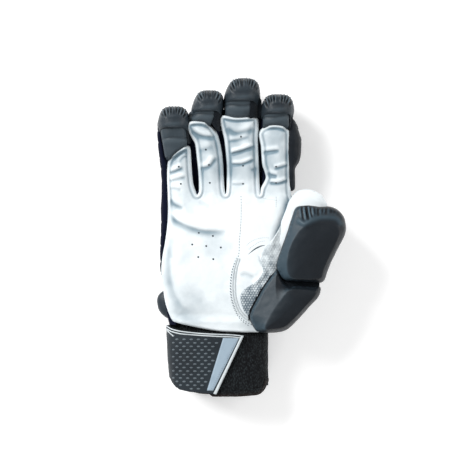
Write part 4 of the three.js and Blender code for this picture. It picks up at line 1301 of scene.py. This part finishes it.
def loafPlace(start, end, squareness, power, sectionAt):
    def place(u, t):
        size = math.sin(math.pi * t) ** (2 / squareness) if 0 < t < 1 else 0.0
        y = (start + end) / 2 - (end - start) / 2 * signedPower(math.cos(math.pi * t), 2 / squareness)
        x, z, wide, deep = sectionAt(y)
        point = sectionPoint(u, x, y, z, wide * size, deep * size, power)
        return point[0], point[1], max(point[2], 0.35)

    return place


def sideBarSection(y):
    little = fingers["little"]
    share = (y - hand["webY"]) / little["length"]
    x, z, wide, _ = fingerSection(little, max(0.0, share)) if y >= hand["webY"] else palmSection(y)
    base = fingerSection(little, 0.0)[1]
    rise = z - base if y >= hand["webY"] else 0.0
    reach = edgePads["barReach"] * (1 - 0.6 * clamp(share)) * (0.35 + 0.65 * ease((y + 34) / 50))
    return x - wide, hand["padDepth"] + hand["fingerDepth"] / 3 + rise, reach, edgePads["barDepth"] / 2


indexPadRows = [
    {"along": 41.0, "reach": 0.9},
    {"along": 47.0, "reach": 0.62},
    {"along": 54.0, "reach": 0.4},
    {"along": 60.5, "reach": 0.38},
    {"along": 67.0, "reach": 0.72},
    {"along": 75.0, "reach": 1.0},
    {"along": 90.0, "reach": 1.04},
    {"along": 98.0, "reach": 0.86},
    {"along": 105.0, "reach": 0.6},
]


def indexPadSection(y):
    index = fingers["index"]
    x, z, wide, _ = fingerSection(index, (y - hand["webY"]) / index["length"])
    reach = edgePads["indexReach"] * readRow(indexPadRows, y)["reach"]
    return x + wide, z - hand["fingerDepth"] / 6, reach, edgePads["indexDepth"] / 2


def wristPadSection(y):
    row = readRow(palmRows, (y - wristY) / hand["palmLength"])
    x = hand["palmCentreX"] + row["shift"] * hand["palmWidth"]
    wide = row["width"] * hand["palmWidth"] / 2 + edgePads["wristReach"]
    return x, edgePads["wristDepth"] / 2 - rolls["flat"], wide, edgePads["wristDepth"] / 2


def addEdgePads():
    look = edgePads
    shape = loafPlace(look["barFrom"], look["barTo"], 4, 2.4, sideBarSection)
    bar = toMesh(wrapGrid(48, 150, shape), "sideBar")

    def barCrease(points):
        seam = -0.5 * hump(points[:, 2] - hand["padDepth"] - 14 - 6 * np.clip((points[:, 1] - 39) / 66, 0, 1) ** 2, 0.9)
        return seam - 0.5 * np.maximum(0, np.sin(points[:, 1] * 0.55 + 0.8 * np.sin(points[:, 1] * 0.2))) ** 8

    creased(bar, barCrease, 3.0, 0.3)
    piece = addPiece("sideBar", bar, "navyFabric", ["side_bar"])

    shape = loafPlace(look["indexFrom"], look["indexTo"], 2.6, 2.4, indexPadSection)
    pad = toMesh(wrapGrid(64, 90, shape), "indexPad")

    def padCrease(points):
        wave = np.sin(points[:, 1] * 0.42 + 0.5 * np.sin(points[:, 2] * 0.3))
        upper = ease((points[:, 1] - 76) / 8)
        return -0.35 * np.maximum(0, np.sin(points[:, 1] * 1.2 + 0.9 * np.sin(points[:, 2] * 0.5))) ** 4 * upper - 0.15 * wave

    creased(pad, padCrease, 8.0, 0.4)
    piece = addPiece("indexSidePad", pad, "blackPadding", ["index_side_pad"])

    wrist = toMesh(wrapGrid(150, 48, loafPlace(wristY, wristY + look["wristLength"], 2.8, 2.5, wristPadSection)), "wristPad")

    def wristCrease(points):
        channels = np.zeros(len(points))
        for at in (-52.0, -31.0, -9.5):
            channels -= 1.3 * hump(points[:, 0] - at, 1.3)
        edge = np.minimum(points[:, 1] - wristY, wristY + look["wristLength"] - points[:, 1])
        return channels - 0.6 * hump(edge - 3.5, 0.8)

    creased(wrist, wristCrease, 15.0, 0.35)
    piece = addPiece("wristPad", wrist, "slatePadding", ["wrist_pad"])


addEdgePads()
print("edge pads built")

# The two padded blocks over the thumb: an outline, the edge of its flat top, and heights in millimetres
blocks = {
    "bottom": 24.0,
    "rim": 55.5,
    "top": 66.0,
    "around": 200,
    "wallRings": 9,
    "topRings": 46,
    "bulge": 1.0,
    "upper": {
        "outline": [
            (41.0, 26.6), (46.1, 27.6), (50.6, 27.9), (55.8, 27.2), (61.1, 26.4), (67.3, 26.6), (72.2, 25.6),
            (77.4, 22.6), (81.4, 17.4), (83.0, 10.2), (82.4, 3.6), (79.7, -2.9), (74.4, -12.8), (70.0, -21.6),
            (66.9, -29.5), (65.2, -35.2), (62.6, -38.6), (57.5, -39.5), (45.3, -39.2), (33.5, -38.6), (28.2, -36.2),
            (24.9, -31.8), (22.6, -26.0), (23.6, -19.9), (26.7, -11.0), (30.2, -1.3), (33.3, 7.5), (36.3, 16.8),
            (38.4, 23.5),
        ],
        "flatTop": [
            (31.4, -26.0), (32.8, -12.5), (37.6, -1.0), (43.6, 7.4), (52.4, 11.4), (65.5, 12.8), (74.5, 10.2),
            (77.4, 4.6), (74.0, -4.8), (68.0, -16.8), (63.2, -28.0), (60.2, -35.4), (46.0, -36.6), (34.6, -35.0),
        ],
    },
    "lower": {
        "outline": [
            (23.2, -28.9), (17.0, -35.9), (9.9, -46.4), (3.8, -57.8), (-0.4, -67.0), (-0.3, -72.0), (1.7, -76.8),
            (5.4, -81.8), (11.0, -83.2), (20.0, -83.0), (29.0, -81.6), (35.5, -77.3), (43.5, -68.9), (52.3, -59.6),
            (58.1, -53.4), (60.8, -47.6), (60.2, -44.0), (55.5, -43.0), (43.5, -42.2), (34.7, -42.6), (30.0, -40.6),
            (26.6, -35.0),
        ],
        "flatTop": [
            (33.0, -46.2), (26.2, -54.4), (18.6, -65.2), (11.8, -79.2), (20.0, -79.8), (28.2, -78.2), (34.0, -74.0),
            (42.0, -66.0), (50.0, -57.4), (55.0, -51.6), (56.4, -47.4), (46.0, -45.6),
        ],
    },
}

# Gathers at the finger end of the upper block: where each starts on the rim, its length, depth and width
gatherRows = [
    {"x": 44.6, "slant": 1.6, "length": 12.5, "depth": 1.5, "width": 0.8},
    {"x": 48.2, "slant": 2.2, "length": 13.0, "depth": 2.4, "width": 1.1},
    {"x": 51.6, "slant": 1.8, "length": 11.0, "depth": 1.5, "width": 0.8},
    {"x": 55.6, "slant": 1.2, "length": 8.0, "depth": 0.55, "width": 0.7},
    {"x": 58.4, "slant": 0.8, "length": 10.0, "depth": 0.7, "width": 0.9},
    {"x": 62.8, "slant": 0.2, "length": 6.5, "depth": 0.5, "width": 0.7},
    {"x": 66.0, "slant": -0.4, "length": 8.5, "depth": 0.6, "width": 0.9},
    {"x": 70.6, "slant": -1.2, "length": 5.5, "depth": 0.35, "width": 0.7},
    {"x": 73.8, "slant": -2.0, "length": 6.0, "depth": 0.35, "width": 0.8},
]


def blockHeights(spots, outline, flatTop, name):
    gap, _, _ = lineDistance(spots, outline, closed=True)
    inner, _, _ = lineDistance(spots, flatTop, closed=True)
    depth = np.maximum(-gap, 0)
    away = np.maximum(inner, 0)
    t = depth / (depth + away + 1e-6)
    rise = blocks["top"] - blocks["rim"]
    shoulder = np.sqrt(1 - (1 - np.clip(depth / 2.6, 0, 1)) ** 2)
    facet = 0.36 * shoulder + 0.64 * t
    crown = 0.9 * (1 - np.exp(np.minimum(inner, 0) / 5.0))
    tall = blocks["rim"] + rise * facet - 0.9 + crown
    fold = np.zeros(len(spots))
    if name == "upper":
        for row in gatherRows:
            line = np.array([(row["x"], 29.0), (row["x"] + row["slant"] * 0.4, 22.0), (row["x"] + row["slant"], 28.0 - row["length"])])
            away, _, place = lineDistance(spots, line)
            fade = np.where(place >= 1, 0, np.clip((1 - place) * 2.5, 0, 1))
            fold -= row["depth"] * hump(away, row["width"]) * fade * ease(depth / 2.0 + 0.3)
            lip = hump(away - 2.1 * row["width"], row["width"])
            fold += 0.55 * row["depth"] * lip * fade * ease(depth / 2.0)
        roll = curveThrough([(43.0, 14.5), (47.5, 12.4), (54.0, 15.2), (62.0, 17.6), (74.0, 17.0), (79.0, 12.0)], 6)
        away, _, _ = lineDistance(spots, roll)
        tall += 1.5 * hump(away, 3.0)
        # Painted highlight along the roll
        fold += 0.4 * hump(away, 2.2)
    fringe = 0.5 * hump(depth - 1.2, 0.8) * ripple(np.column_stack([spots, depth * 0]), 1.7, 6.0)
    # The second value goes to the fold attribute: painted shade in the gathers and painted highlight on their lips, on
    # the roll and on the fringe's rises
    return tall + fold * (1 - 0.4 * (fold > 0)) + fringe, fold + fringe


def addBlock(name, seed):
    outline = curveThrough(blocks[name]["outline"], 8, closed=True)
    flatTop = curveThrough(blocks[name]["flatTop"], 4, closed=True)
    middle = np.array(blocks[name]["flatTop"]).mean(axis=0)
    rim, _ = evenSpots(np.vstack([outline, outline[:1]]), 0.5)
    walls, tops = blocks["wallRings"], blocks["topRings"]
    bottoms = 6
    rings = bottoms + walls + tops

    def place(u, t):
        k = int(round(t * rings))
        edge = np.array([np.interp(u, np.linspace(0, 1, len(rim)), rim[:, i]) for i in range(2)])
        out = edge - middle
        length = np.linalg.norm(out)
        if k < bottoms:
            size = (k / bottoms) * (1 - 3.0 / length)
            return (*(middle + out * size), blocks["bottom"])
        if k <= bottoms + walls:
            s = (k - bottoms) / walls
            swell = blocks["bulge"] * math.sin(math.pi * s) - 3.0 * (1 - s) ** 4
            return (*(middle + out * (1 + swell / length)), mix(blocks["bottom"], blocks["rim"], s))
        s = (k - bottoms - walls) / tops
        size = 1 - s ** 1.25
        return (*(middle + out * size), blocks["rim"] + 1)

    mesh = toMesh(wrapGrid(blocks["around"], rings, place), "block" + name)
    points = corners(mesh)
    onTop = points[:, 2] > blocks["rim"] + 0.5
    tall, fold = blockHeights(points[onTop, :2], outline, flatTop, name)
    points[onTop, 2] = tall
    shade = np.zeros(len(points))
    shade[onTop] = fold
    putCorners(mesh, points)
    normals = cornerNormals(mesh)
    rough = 0.28 * ripple(points, 14.0, seed) + 0.16 * ripple(points, 4.5, seed + 2.0)
    side = -0.7 * hump(points[:, 2] - 40.0, 0.8) * ~onTop
    putCorners(mesh, points + normals * (rough + side)[:, None])
    # Painted light: top slopes that face left, towards the key light, are lighter; the groove round the wall is painted
    # shade
    facet = 0.55 * np.clip(-normals[:, 0] * 1.6, 0, 1) * onTop
    writeFold(mesh, shade + side + facet)
    mesh = cutBelow(mesh)
    piece = addPiece("thumbBlock" + name.title(), mesh, "blockLeather", ["thumb_block_" + name])
    return piece


def cutBelow(mesh):  # takes from a block what lies inside the hand and the thumb's sheath
    sheath = toMesh(wrapGrid(64, 40, thumbPlace), "cutter")
    palm = toMesh(wrapGrid(96, 40, palmTube), "cutter")
    done = mesh
    for cutter, grow in ((palm, 1.2), (sheath, 0.9)):
        points = corners(cutter)
        putCorners(cutter, points + cornerNormals(cutter) * grow)
        tool = newObject("cutter", cutter)
        done = evaluated(done, [("BOOLEAN", {"operation": "DIFFERENCE", "solver": "EXACT", "object": tool})])
        bpy.data.objects.remove(tool)
        bpy.data.meshes.remove(cutter)
    return done


# Dark knit under the gap between the blocks and along the lower block's inner edge
blockKnit = {
    "gap": [(21.0, -27.5), (30.0, -33.0), (46.0, -35.5), (58.5, -36.0), (58.5, -45.5), (46.0, -47.0),
            (31.0, -46.0), (23.0, -40.0), (17.5, -33.0)],
    "gapZ": 52.6,
    "edge": [(20.4, -31.0), (14.4, -38.8), (8.0, -48.4), (2.0, -59.6), (-1.2, -67.0), (-1.2, -72.0)],
    "edgeRadius": 0.95,
}


def addBlockKnit():
    look = blockKnit
    outline = curveThrough(look["gap"], 5, closed=True)

    def height(spots, gap):
        return look["gapZ"] + 0.3 * ripple(np.column_stack([spots, gap * 0]), 3.0, 5.0)

    mesh = panelMesh("blockGapKnit", outline, 1.0, height, [(0.2, -1.5), (0.2, -3.0)], 1.0)
    addPiece("blockGapKnit", mesh, "blackKnit")
    line, _ = evenSpots(curveThrough(look["edge"], 8), 0.7)
    points, _ = settle(surfaceOf(leather, thumbLeather), line, 0.5)
    mesh = cordMesh("blockEdgeKnit", points, look["edgeRadius"], 12)
    spots = corners(mesh)
    ragged = 0.75 * ripple(spots, 1.4, 3.0) + 0.6 * ripple(spots, 3.1, 8.0)
    putCorners(mesh, spots + cornerNormals(mesh) * ragged[:, None])
    addPiece("blockEdgeKnit", mesh, "blackKnit")


addBlock("upper", 21.0)
addBlock("lower", 27.0)
addBlockKnit()
print("thumb blocks built")

# The embossed patch at the root of the thumb and the piping round it

thumbPatch = {
    "cell": 0.62,
    "pitch": 2.35,
    "lift": 0.55,
    "pimple": 0.5,
    "outline": [
        (-9.3, -55.2), (-9.0, -49.9), (-6.0, -45.5), (-0.7, -41.9), (4.6, -38.4), (8.2, -34.0), (10.4, -28.7),
        (8.4, -21.6), (9.0, -15.5), (12.6, -8.4), (18.8, -1.2), (24.9, 8.4), (29.4, 18.8), (32.6, 24.0),
        (35.6, 20.0), (36.4, 6.0), (35.0, -14.0), (31.0, -36.0), (22.0, -56.0), (9.0, -71.5), (2.0, -72.6),
        (-3.6, -68.0), (-7.6, -62.0),
    ],
    "piping": [(-10.8, -18.1), (-13.0, -25.2), (-14.5, -34.0), (-15.0, -44.6), (-13.9, -54.3), (-10.8, -63.1),
               (-6.0, -69.3), (1.1, -74.2)],
    "pipingRadius": 0.55,
    "pipingGap": 2.1,
}


def addThumbPatch():
    look = thumbPatch
    outline = curveThrough(look["outline"], 6, closed=True)
    tree = surfaceOf(leather)

    def height(spots, gap):
        points, _ = settle(tree, spots)
        edge = -0.9 * (1 - np.clip(-gap / 1.2, 0, 1)) ** 2
        pitch = look["pitch"]
        row = np.round(spots[:, 1] / (pitch * 0.866))
        column = spots[:, 0] / pitch - 0.5 * (row % 2)
        gapX = (column - np.round(column)) * pitch
        gapY = spots[:, 1] - row * pitch * 0.866
        pimples = look["pimple"] * hump(np.hypot(gapX, gapY), 0.62) * ease(-gap / 1.5)
        return points[:, 2] + look["lift"] + edge + pimples

    mesh = panelMesh("thumbPatch", outline, look["cell"], height, [(0.0, -0.8)], 0.5)
    points = corners(mesh)
    row = np.round(points[:, 1] / (look["pitch"] * 0.866))
    column = points[:, 0] / look["pitch"] - 0.5 * (row % 2)
    far = np.hypot((column - np.round(column)) * look["pitch"], points[:, 1] - row * look["pitch"] * 0.866)
    writeFold(mesh, hump(far, 0.75))
    addPiece("thumbPatch", mesh, "pimpledPatch", ["thumb_patch"])

    line = curveThrough(look["piping"], 10)
    way = np.gradient(line, axis=0)
    way /= np.linalg.norm(way, axis=1)[:, None]
    across = np.column_stack([way[:, 1], -way[:, 0]])
    work = bmesh.new()
    for side in (-0.5, 0.5):
        points, _ = settle(tree, line + across * side * look["pipingGap"], 0.35)
        part = cordMesh("piping", points, look["pipingRadius"], 10)
        work.from_mesh(part)
        bpy.data.meshes.remove(part)
    addPiece("thumbPiping", toMesh(work, "thumbPiping"), "lightPiping", ["thumb_piping"])


# Stitch rows, air holes and marks on the palm
palmMarks = {
    "stitch": {"pitch": 2.5, "lift": 0.06, "size": (1.35, 0.8, 0.5)},
    "fine": {"pitch": 1.7, "lift": 0.02, "size": (0.9, 0.45, 0.35)},
    "rows": [
        [(-8.6, 35.8), (-8.4, 24.3), (-8.8, 11.0), (-9.9, -2.2), (-10.7, -15.5), (-14.6, -23.6), (-17.0, -32.2),
         (-18.0, -42.8), (-17.2, -53.4), (-14.3, -63.1), (-9.5, -71.5), (-2.5, -77.1)],
        [(-12.6, -18.5), (-15.3, -25.2), (-16.9, -34.0), (-17.4, -44.6), (-16.3, -54.9), (-13.0, -64.5),
         (-7.8, -71.4), (0.3, -76.6)],
    ],
    "dots": [
        [(-3.3, -6.6), (0.2, -3.5), (5.5, -1.3), (9.9, -0.4), (15.2, -0.4)],
        [(-1.5, -10.2), (2.9, -6.6), (7.3, -4.0), (11.7, -3.1)],
        [(9.9, 34.9), (15.2, 33.6), (22.3, 32.7)],
        [(22.3, 35.4), (22.3, 27.4)],
    ],
    "slit": [(-2.2, -14.8), (2.0, -11.3), (5.5, -9.1), (9.1, -7.5), (12.6, -6.9)],
    "holes": [
        (-63.4, 62.3), (-61.6, 47.2), (-39.5, 77.3), (-36.9, 64.0), (-36.0, 48.1), (-8.6, 88.7), (-6.8, 63.1),
        (-6.8, 47.2), (22.3, 62.3), (22.3, 48.1), (-45.7, 4.0), (-33.3, 1.3), (-51.4, -6.2), (-39.1, -7.5),
        (-26.3, -8.8), (-46.1, -17.2), (-32.9, -19.0),
    ],
    "holeSize": (1.75, 1.75, 0.5),
}


def addPalmMarks():
    look = palmMarks
    tree = surfaceOf(leather)
    stitches("palmStitches", tree, [curveThrough(row, 6) for row in look["rows"]], look["stitch"])
    stitches("palmDots", tree, [curveThrough(row, 6) for row in look["dots"]], look["fine"])
    # Dark domes stand for the air holes: their dark is painted shade of the holes' insides
    points, normals = settle(tree, look["holes"], 0.02)
    beads = [(p, (1, 0, 0), n, look["holeSize"]) for p, n in zip(points, normals)]
    addPiece("airHoles", beadMesh("airHoles", beads, (12, 5)), "holeDark")
    line = curveThrough(look["slit"], 8)
    points, _ = settle(tree, line, -0.12)
    mesh = cordMesh("palmSlit", points, lambda t: 0.15 + 0.42 * math.sin(math.pi * t), 8)
    addPiece("palmSlit", mesh, "slateSmooth")


addThumbPatch()
addPalmMarks()
print("palm marks built")

# The knitted cuff

cuff = {
    "width": 87.4, "length": 62.0, "depth": 40.0, "centreX": -28.5, "bottomZ": 7.0, "wall": 3.0, "power": 2.6,
    "rise": 10.0, "leftRise": 20.0, "hem": 0.7, "taper": 4.5, "upperReach": 7.5,
    "rows": [
        {"along": 0.0, "width": 0.9, "shift": 2.4},
        {"along": 0.06, "width": 0.945, "shift": 2.2},
        {"along": 0.45, "width": 0.98, "shift": 0.8},
        {"along": 1.0, "width": 1.0, "shift": 0.0},
    ],
}
cuffEndY = wristY - 0.3 - cuff["length"]


def cuffSection(y):
    row = readRow(cuff["rows"], clamp((y - cuffEndY) / cuff["length"], 0.0, 1.0))
    x = cuff["centreX"] + row["shift"]
    return x, cuff["bottomZ"] + cuff["depth"] / 2, cuff["width"] * row["width"] / 2, cuff["depth"] / 2


def cuffEdge(x, z):  # where the cuff's free end lies, drawn up at its sides and under the strap
    side = (x - cuff["centreX"] - 2.4) / (cuff["width"] * 0.45)
    front = float(ease((z - cuff["bottomZ"] - cuff["depth"] / 2 + 4) / 8))
    corner = clamp((side - 0.76) / 0.22)
    rise = cuff["rise"] * (1 - math.sqrt(1 - corner ** 2)) if side > 0 else cuff["leftRise"] * (-side) ** 4.5
    underStrap = 5.0 * float(ease((-33.0 - x) / 6))
    return cuffEndY + 0.4 + rise + front * underStrap + 2.2 * clamp((x + 18) / 30) ** 2


def cuffPlace(u, t):
    y = mix(cuffEndY, wristY + 1.5, t)
    x, z, wide, deep = cuffSection(y)
    px, _, pz = sectionPoint(u, x, y, z, wide, deep, cuff["power"])
    front = float(ease((pz - z - 2) / 10))
    y = mix(cuffEdge(px, pz), wristY + 1.5 + cuff["upperReach"] * front, t)
    x, z, wide, deep = cuffSection(y)
    px, y, pz = sectionPoint(u, x, y, z, wide, deep, cuff["power"])
    lower = cuff["taper"] * float(ease((y + 88) / 8)) * max(0.0, (pz - z) / deep)
    return px, y, pz - lower


def addCuff():
    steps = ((260, 110))
    mesh = toMesh(wrapGrid(*steps, cuffPlace), "cuff")
    points = corners(mesh)
    normals = cornerNormals(mesh)
    edge = points[:, 1] - np.array([cuffEdge(p[0], p[2]) for p in points])
    hem = cuff["hem"] * hump(edge - 2.0, 2.0) - 0.7 * hump(edge - 5.2, 0.9)
    loops = 0.22 * ripple(points * np.array([1.0, 1.4, 1.0]), 1.5, 4.0) + 0.5 * ripple(points, 10.0, 9.0)
    putCorners(mesh, points + normals * (hem + loops)[:, None])
    mesh = thickened(mesh, cuff["wall"])
    points = corners(mesh)
    edge = points[:, 1] - np.array([cuffEdge(p[0], p[2]) for p in points])
    writeFold(mesh, hump(edge, 2.2))
    return addPiece("cuff", mesh, "terryKnit", ["cuff"])


# The wrist strap, its stripe, its light edge and the piping along its top

strap = {
    "wall": 2.0, "lift": 0.6, "endX": -6.8, "slant": 24.8, "stripe": 15.0, "stripeEnd": 5.7, "binding": 2.2,
    "backTop": -79.8,
    "backBottomEdge": [(-76.0, -121.5), (-72.5, -123.0), (-69.6, -126.5), (-66.0, -129.5), (-60.0, -131.5),
                       (20.0, -131.5)],
    "pimplePitch": (6.35, 3.1), "pimpleSize": (3.4, 1.7, 1.3),
    "topEdge": [(-76.0, -76.6), (-74.4, -77.3), (-70.4, -79.9), (-64.2, -81.6), (-53.6, -83.0), (-40.4, -84.1),
                (-27.2, -84.7), (-16.6, -85.2), (-4.0, -86.2)],
    "bottomEdge": [(-76.0, -121.0), (-72.5, -122.5), (-69.6, -127.5), (-66.0, -131.8), (-62.5, -134.0),
                   (-53.6, -135.8), (-40.4, -136.9), (-31.0, -137.6), (-20.0, -138.0)],
    "piping": [
        [(-74.4, -77.8), (-70.4, -80.3), (-64.2, -82.1), (-53.6, -83.5), (-40.4, -84.6), (-27.2, -85.2),
         (-16.6, -85.6), (-6.2, -86.8)],
        [(-73.8, -80.8), (-69.5, -82.9), (-62.5, -84.6), (-53.6, -85.4), (-40.4, -86.3), (-27.2, -87.0),
         (-16.6, -87.4), (-8.6, -88.4)],
        [(-73.6, -81.9), (-70.9, -84.5), (-67.8, -87.0)],
    ],
}


def strapFront(spots, lift):  # the height of the strap's front under spots
    y = np.linspace(cuffEndY, wristY, 30)
    rows = np.array([cuffSection(v) for v in y])
    x, z, wide, deep = (np.interp(spots[:, 1], y, rows[:, i]) for i in range(4))
    across = np.clip(np.abs(spots[:, 0] - x) / (wide + strap["wall"]), 0, 0.995)
    power = cuff["power"]
    return z + (deep + strap["wall"]) * (1 - across ** power) ** (1 / power) + lift


def strapT(y):
    return clamp((-87.0 - y) / 50.5)


def strapPlace(u, t):
    # u runs from the slanted end on the front, round the outside of the wrist, to the far side of the back
    y = mix(-86.0, -137.0, t)
    for _ in range(3):
        x, z, wide, deep = cuffSection(y)
        wide, deep = wide + strap["wall"] + strap["lift"], deep + strap["wall"] + strap["lift"]
        endX = strap["endX"] - strap["slant"] * strapT(y)
        start = math.acos(clamp(signedPower((endX - x) / wide, cuff["power"] / 2), -1, 1))
        angle = mix(start, 2 * math.pi - 0.35, u ** 0.9)
        px = x + wide * signedPower(math.cos(angle), 2 / cuff["power"])
        pz = z + deep * signedPower(math.sin(angle), 2 / cuff["power"])
        front = float(ease((pz - z + 6) / 12))
        top = mix(strap["backTop"], float(np.interp(px, *np.array(strap["topEdge"]).T)), front)
        behind = float(np.interp(px, *np.array(strap["backBottomEdge"]).T))
        bottom = mix(behind, float(np.interp(px, *np.array(strap["bottomEdge"]).T)), front)
        y = mix(top, bottom, t)
    return px, y, pz


def addStrap():
    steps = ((220, 70))
    mesh = toMesh(wrapGrid(*steps, strapPlace), "strap")
    points = corners(mesh)
    if np.mean(cornerNormals(mesh)[points[:, 2] > 40, 2]) < 0:
        mesh.flip_normals()
    normals = cornerNormals(mesh)
    rough = 0.25 * ripple(points, 8.0, 1.0) + 0.15 * ripple(points, 3.0, 6.0)
    putCorners(mesh, points + normals * rough[:, None])
    mesh = thickened(mesh, strap["wall"])
    writeFold(mesh, np.zeros(len(mesh.vertices)))
    body = addPiece("strap", mesh, "strapWeb", ["strap"])
    tree = surfaceOf(body)

    pitch = strap["pimplePitch"]
    beads = []
    for row in range(18):
        y = -86.5 - row * pitch[1]
        for column in range(-2, 12):
            x = -74.5 + (column + 0.5 * (row % 2)) * pitch[0]
            endX = strap["endX"] - strap["slant"] * strapT(y) - strap["binding"]
            stripeX = endX - mix(strap["stripe"], strap["stripeEnd"], strapT(y))
            if x < -70.5 or x > stripeX - 2.4:
                continue
            if y > np.interp(x, *np.array(strap["topEdge"]).T) - 5.2 or y < np.interp(x, *np.array(strap["bottomEdge"]).T) + 2:
                continue
            (point,), (normal,) = settle(tree, [(x, y)], -0.05)
            beads.append((point, (1, 0.04, 0), normal, strap["pimpleSize"]))
    addPiece("strapPimples", beadMesh("strapPimples", beads, (10, 6)), "strapPimple")

    def strapPanel(name, outline, lift, edge, finish, nodes):
        def height(spots, gap):
            return strapFront(spots, strap["lift"] + lift) - edge * (1 - np.clip(-gap / 1.1, 0, 1)) ** 2

        mesh = panelMesh(name, np.array(outline, float), 0.6, height, [(0.0, -0.7)], 0.6)
        writeFold(mesh, np.zeros(len(mesh.vertices)))
        return addPiece(name, mesh, finish, nodes)

    stripeOutline = [(-24.3, -88.2), (-10.3, -88.6), (-33.0, -134.6), (-38.6, -134.4)]
    bindingOutline = [(-8.6, -86.6), (-6.0, -86.4), (-30.3, -138.0), (-32.9, -137.2)]
    strapPanel("strapStripe", stripeOutline, 0.75, 0.5, "silverLeather", ["strap_stripe"])
    strapPanel("strapBinding", bindingOutline, 1.0, 0.8, "lightPiping", ["strap_binding"])
    work = bmesh.new()
    for row in strap["piping"]:
        line = curveThrough(row, 10)
        points, _ = settle(tree, line, 0.25)
        part = cordMesh("piping", points, 0.55, 8)
        work.from_mesh(part)
        bpy.data.meshes.remove(part)
    addPiece("strapPiping", toMesh(work, "strapPiping"), "lightPiping")
    stitches("strapStitches", tree, [curveThrough([(-12.6, -90.0), (-35.0, -134.4)], 8)],
             {"pitch": 2.0, "lift": 0.7, "size": (1.2, 0.45, 0.4)})


addCuff()
addStrap()
print("cuff and strap built")

# Floor, light and camera

studio = {
    "floorSide": 6.0,
    "photoPixels": 474,
    "pixelSize": 0.000883,
    "planeZ": 0.035,
    "cameraHeight": 2.6,
    "photoCentre": (-0.0121, 0.0004),
    "sensor": 36.0,
    "floorGlow": 0.3,
    "skyStrength": 0.3,
    "lights": {
        "keyLight": {"place": (-1.3, 1.0, 1.3), "power": 50.0, "size": 1.0},
        "fillLight": {"place": (1.5, 0.4, 1.1), "power": 16.0, "size": 1.2},
        "lowLight": {"place": (-0.2, -1.7, 1.2), "power": 12.0, "size": 1.2},
    },
}


def addFloor():
    work = bmesh.new()
    bmesh.ops.create_grid(work, x_segments=1, y_segments=1, size=studio["floorSide"] / 2)
    floor = newObject("floor", toMesh(work, "floor"))
    constants = {"Roughness": 0.9, "Specular IOR Level": 0.1, "Base Color": (0.9, 0.9, 0.9, 1)}
    constants.update({"Emission Color": (1, 1, 1, 1), "Emission Strength": studio["floorGlow"]})
    floor.data.materials.append(newMaterial("floorWhite", constants)[0])


def addLight(name, place, power, size):
    data = bpy.data.lights.new(name, "AREA")
    data.energy = power
    data.size = size
    light = newObject(name, data)
    light.location = place
    light.rotation_euler = (-Vector(place)).to_track_quat("-Z", "Y").to_euler()


def addCamera():
    data = bpy.data.cameras.new("camera")
    data.sensor_width = studio["sensor"]
    viewWidth = studio["photoPixels"] * studio["pixelSize"]
    distance = studio["cameraHeight"] - studio["planeZ"]
    data.lens = studio["sensor"] * distance / viewWidth
    data.clip_end = 100
    camera = newObject("camera", data)
    camera.location = (*studio["photoCentre"], studio["cameraHeight"])
    bpy.context.scene.camera = camera


def addWorld():
    world = bpy.data.worlds.new("studioWhite")
    world.use_nodes = True
    world.node_tree.nodes["Background"].inputs["Color"].default_value = (1, 1, 1, 1)
    world.node_tree.nodes["Background"].inputs["Strength"].default_value = studio["skyStrength"]
    bpy.context.scene.world = world
    bpy.context.scene.view_settings.view_transform = "Standard"


addFloor()
addWorld()
for lightName, row in studio["lights"].items():
    addLight(lightName, row["place"], row["power"], row["size"])
addCamera()
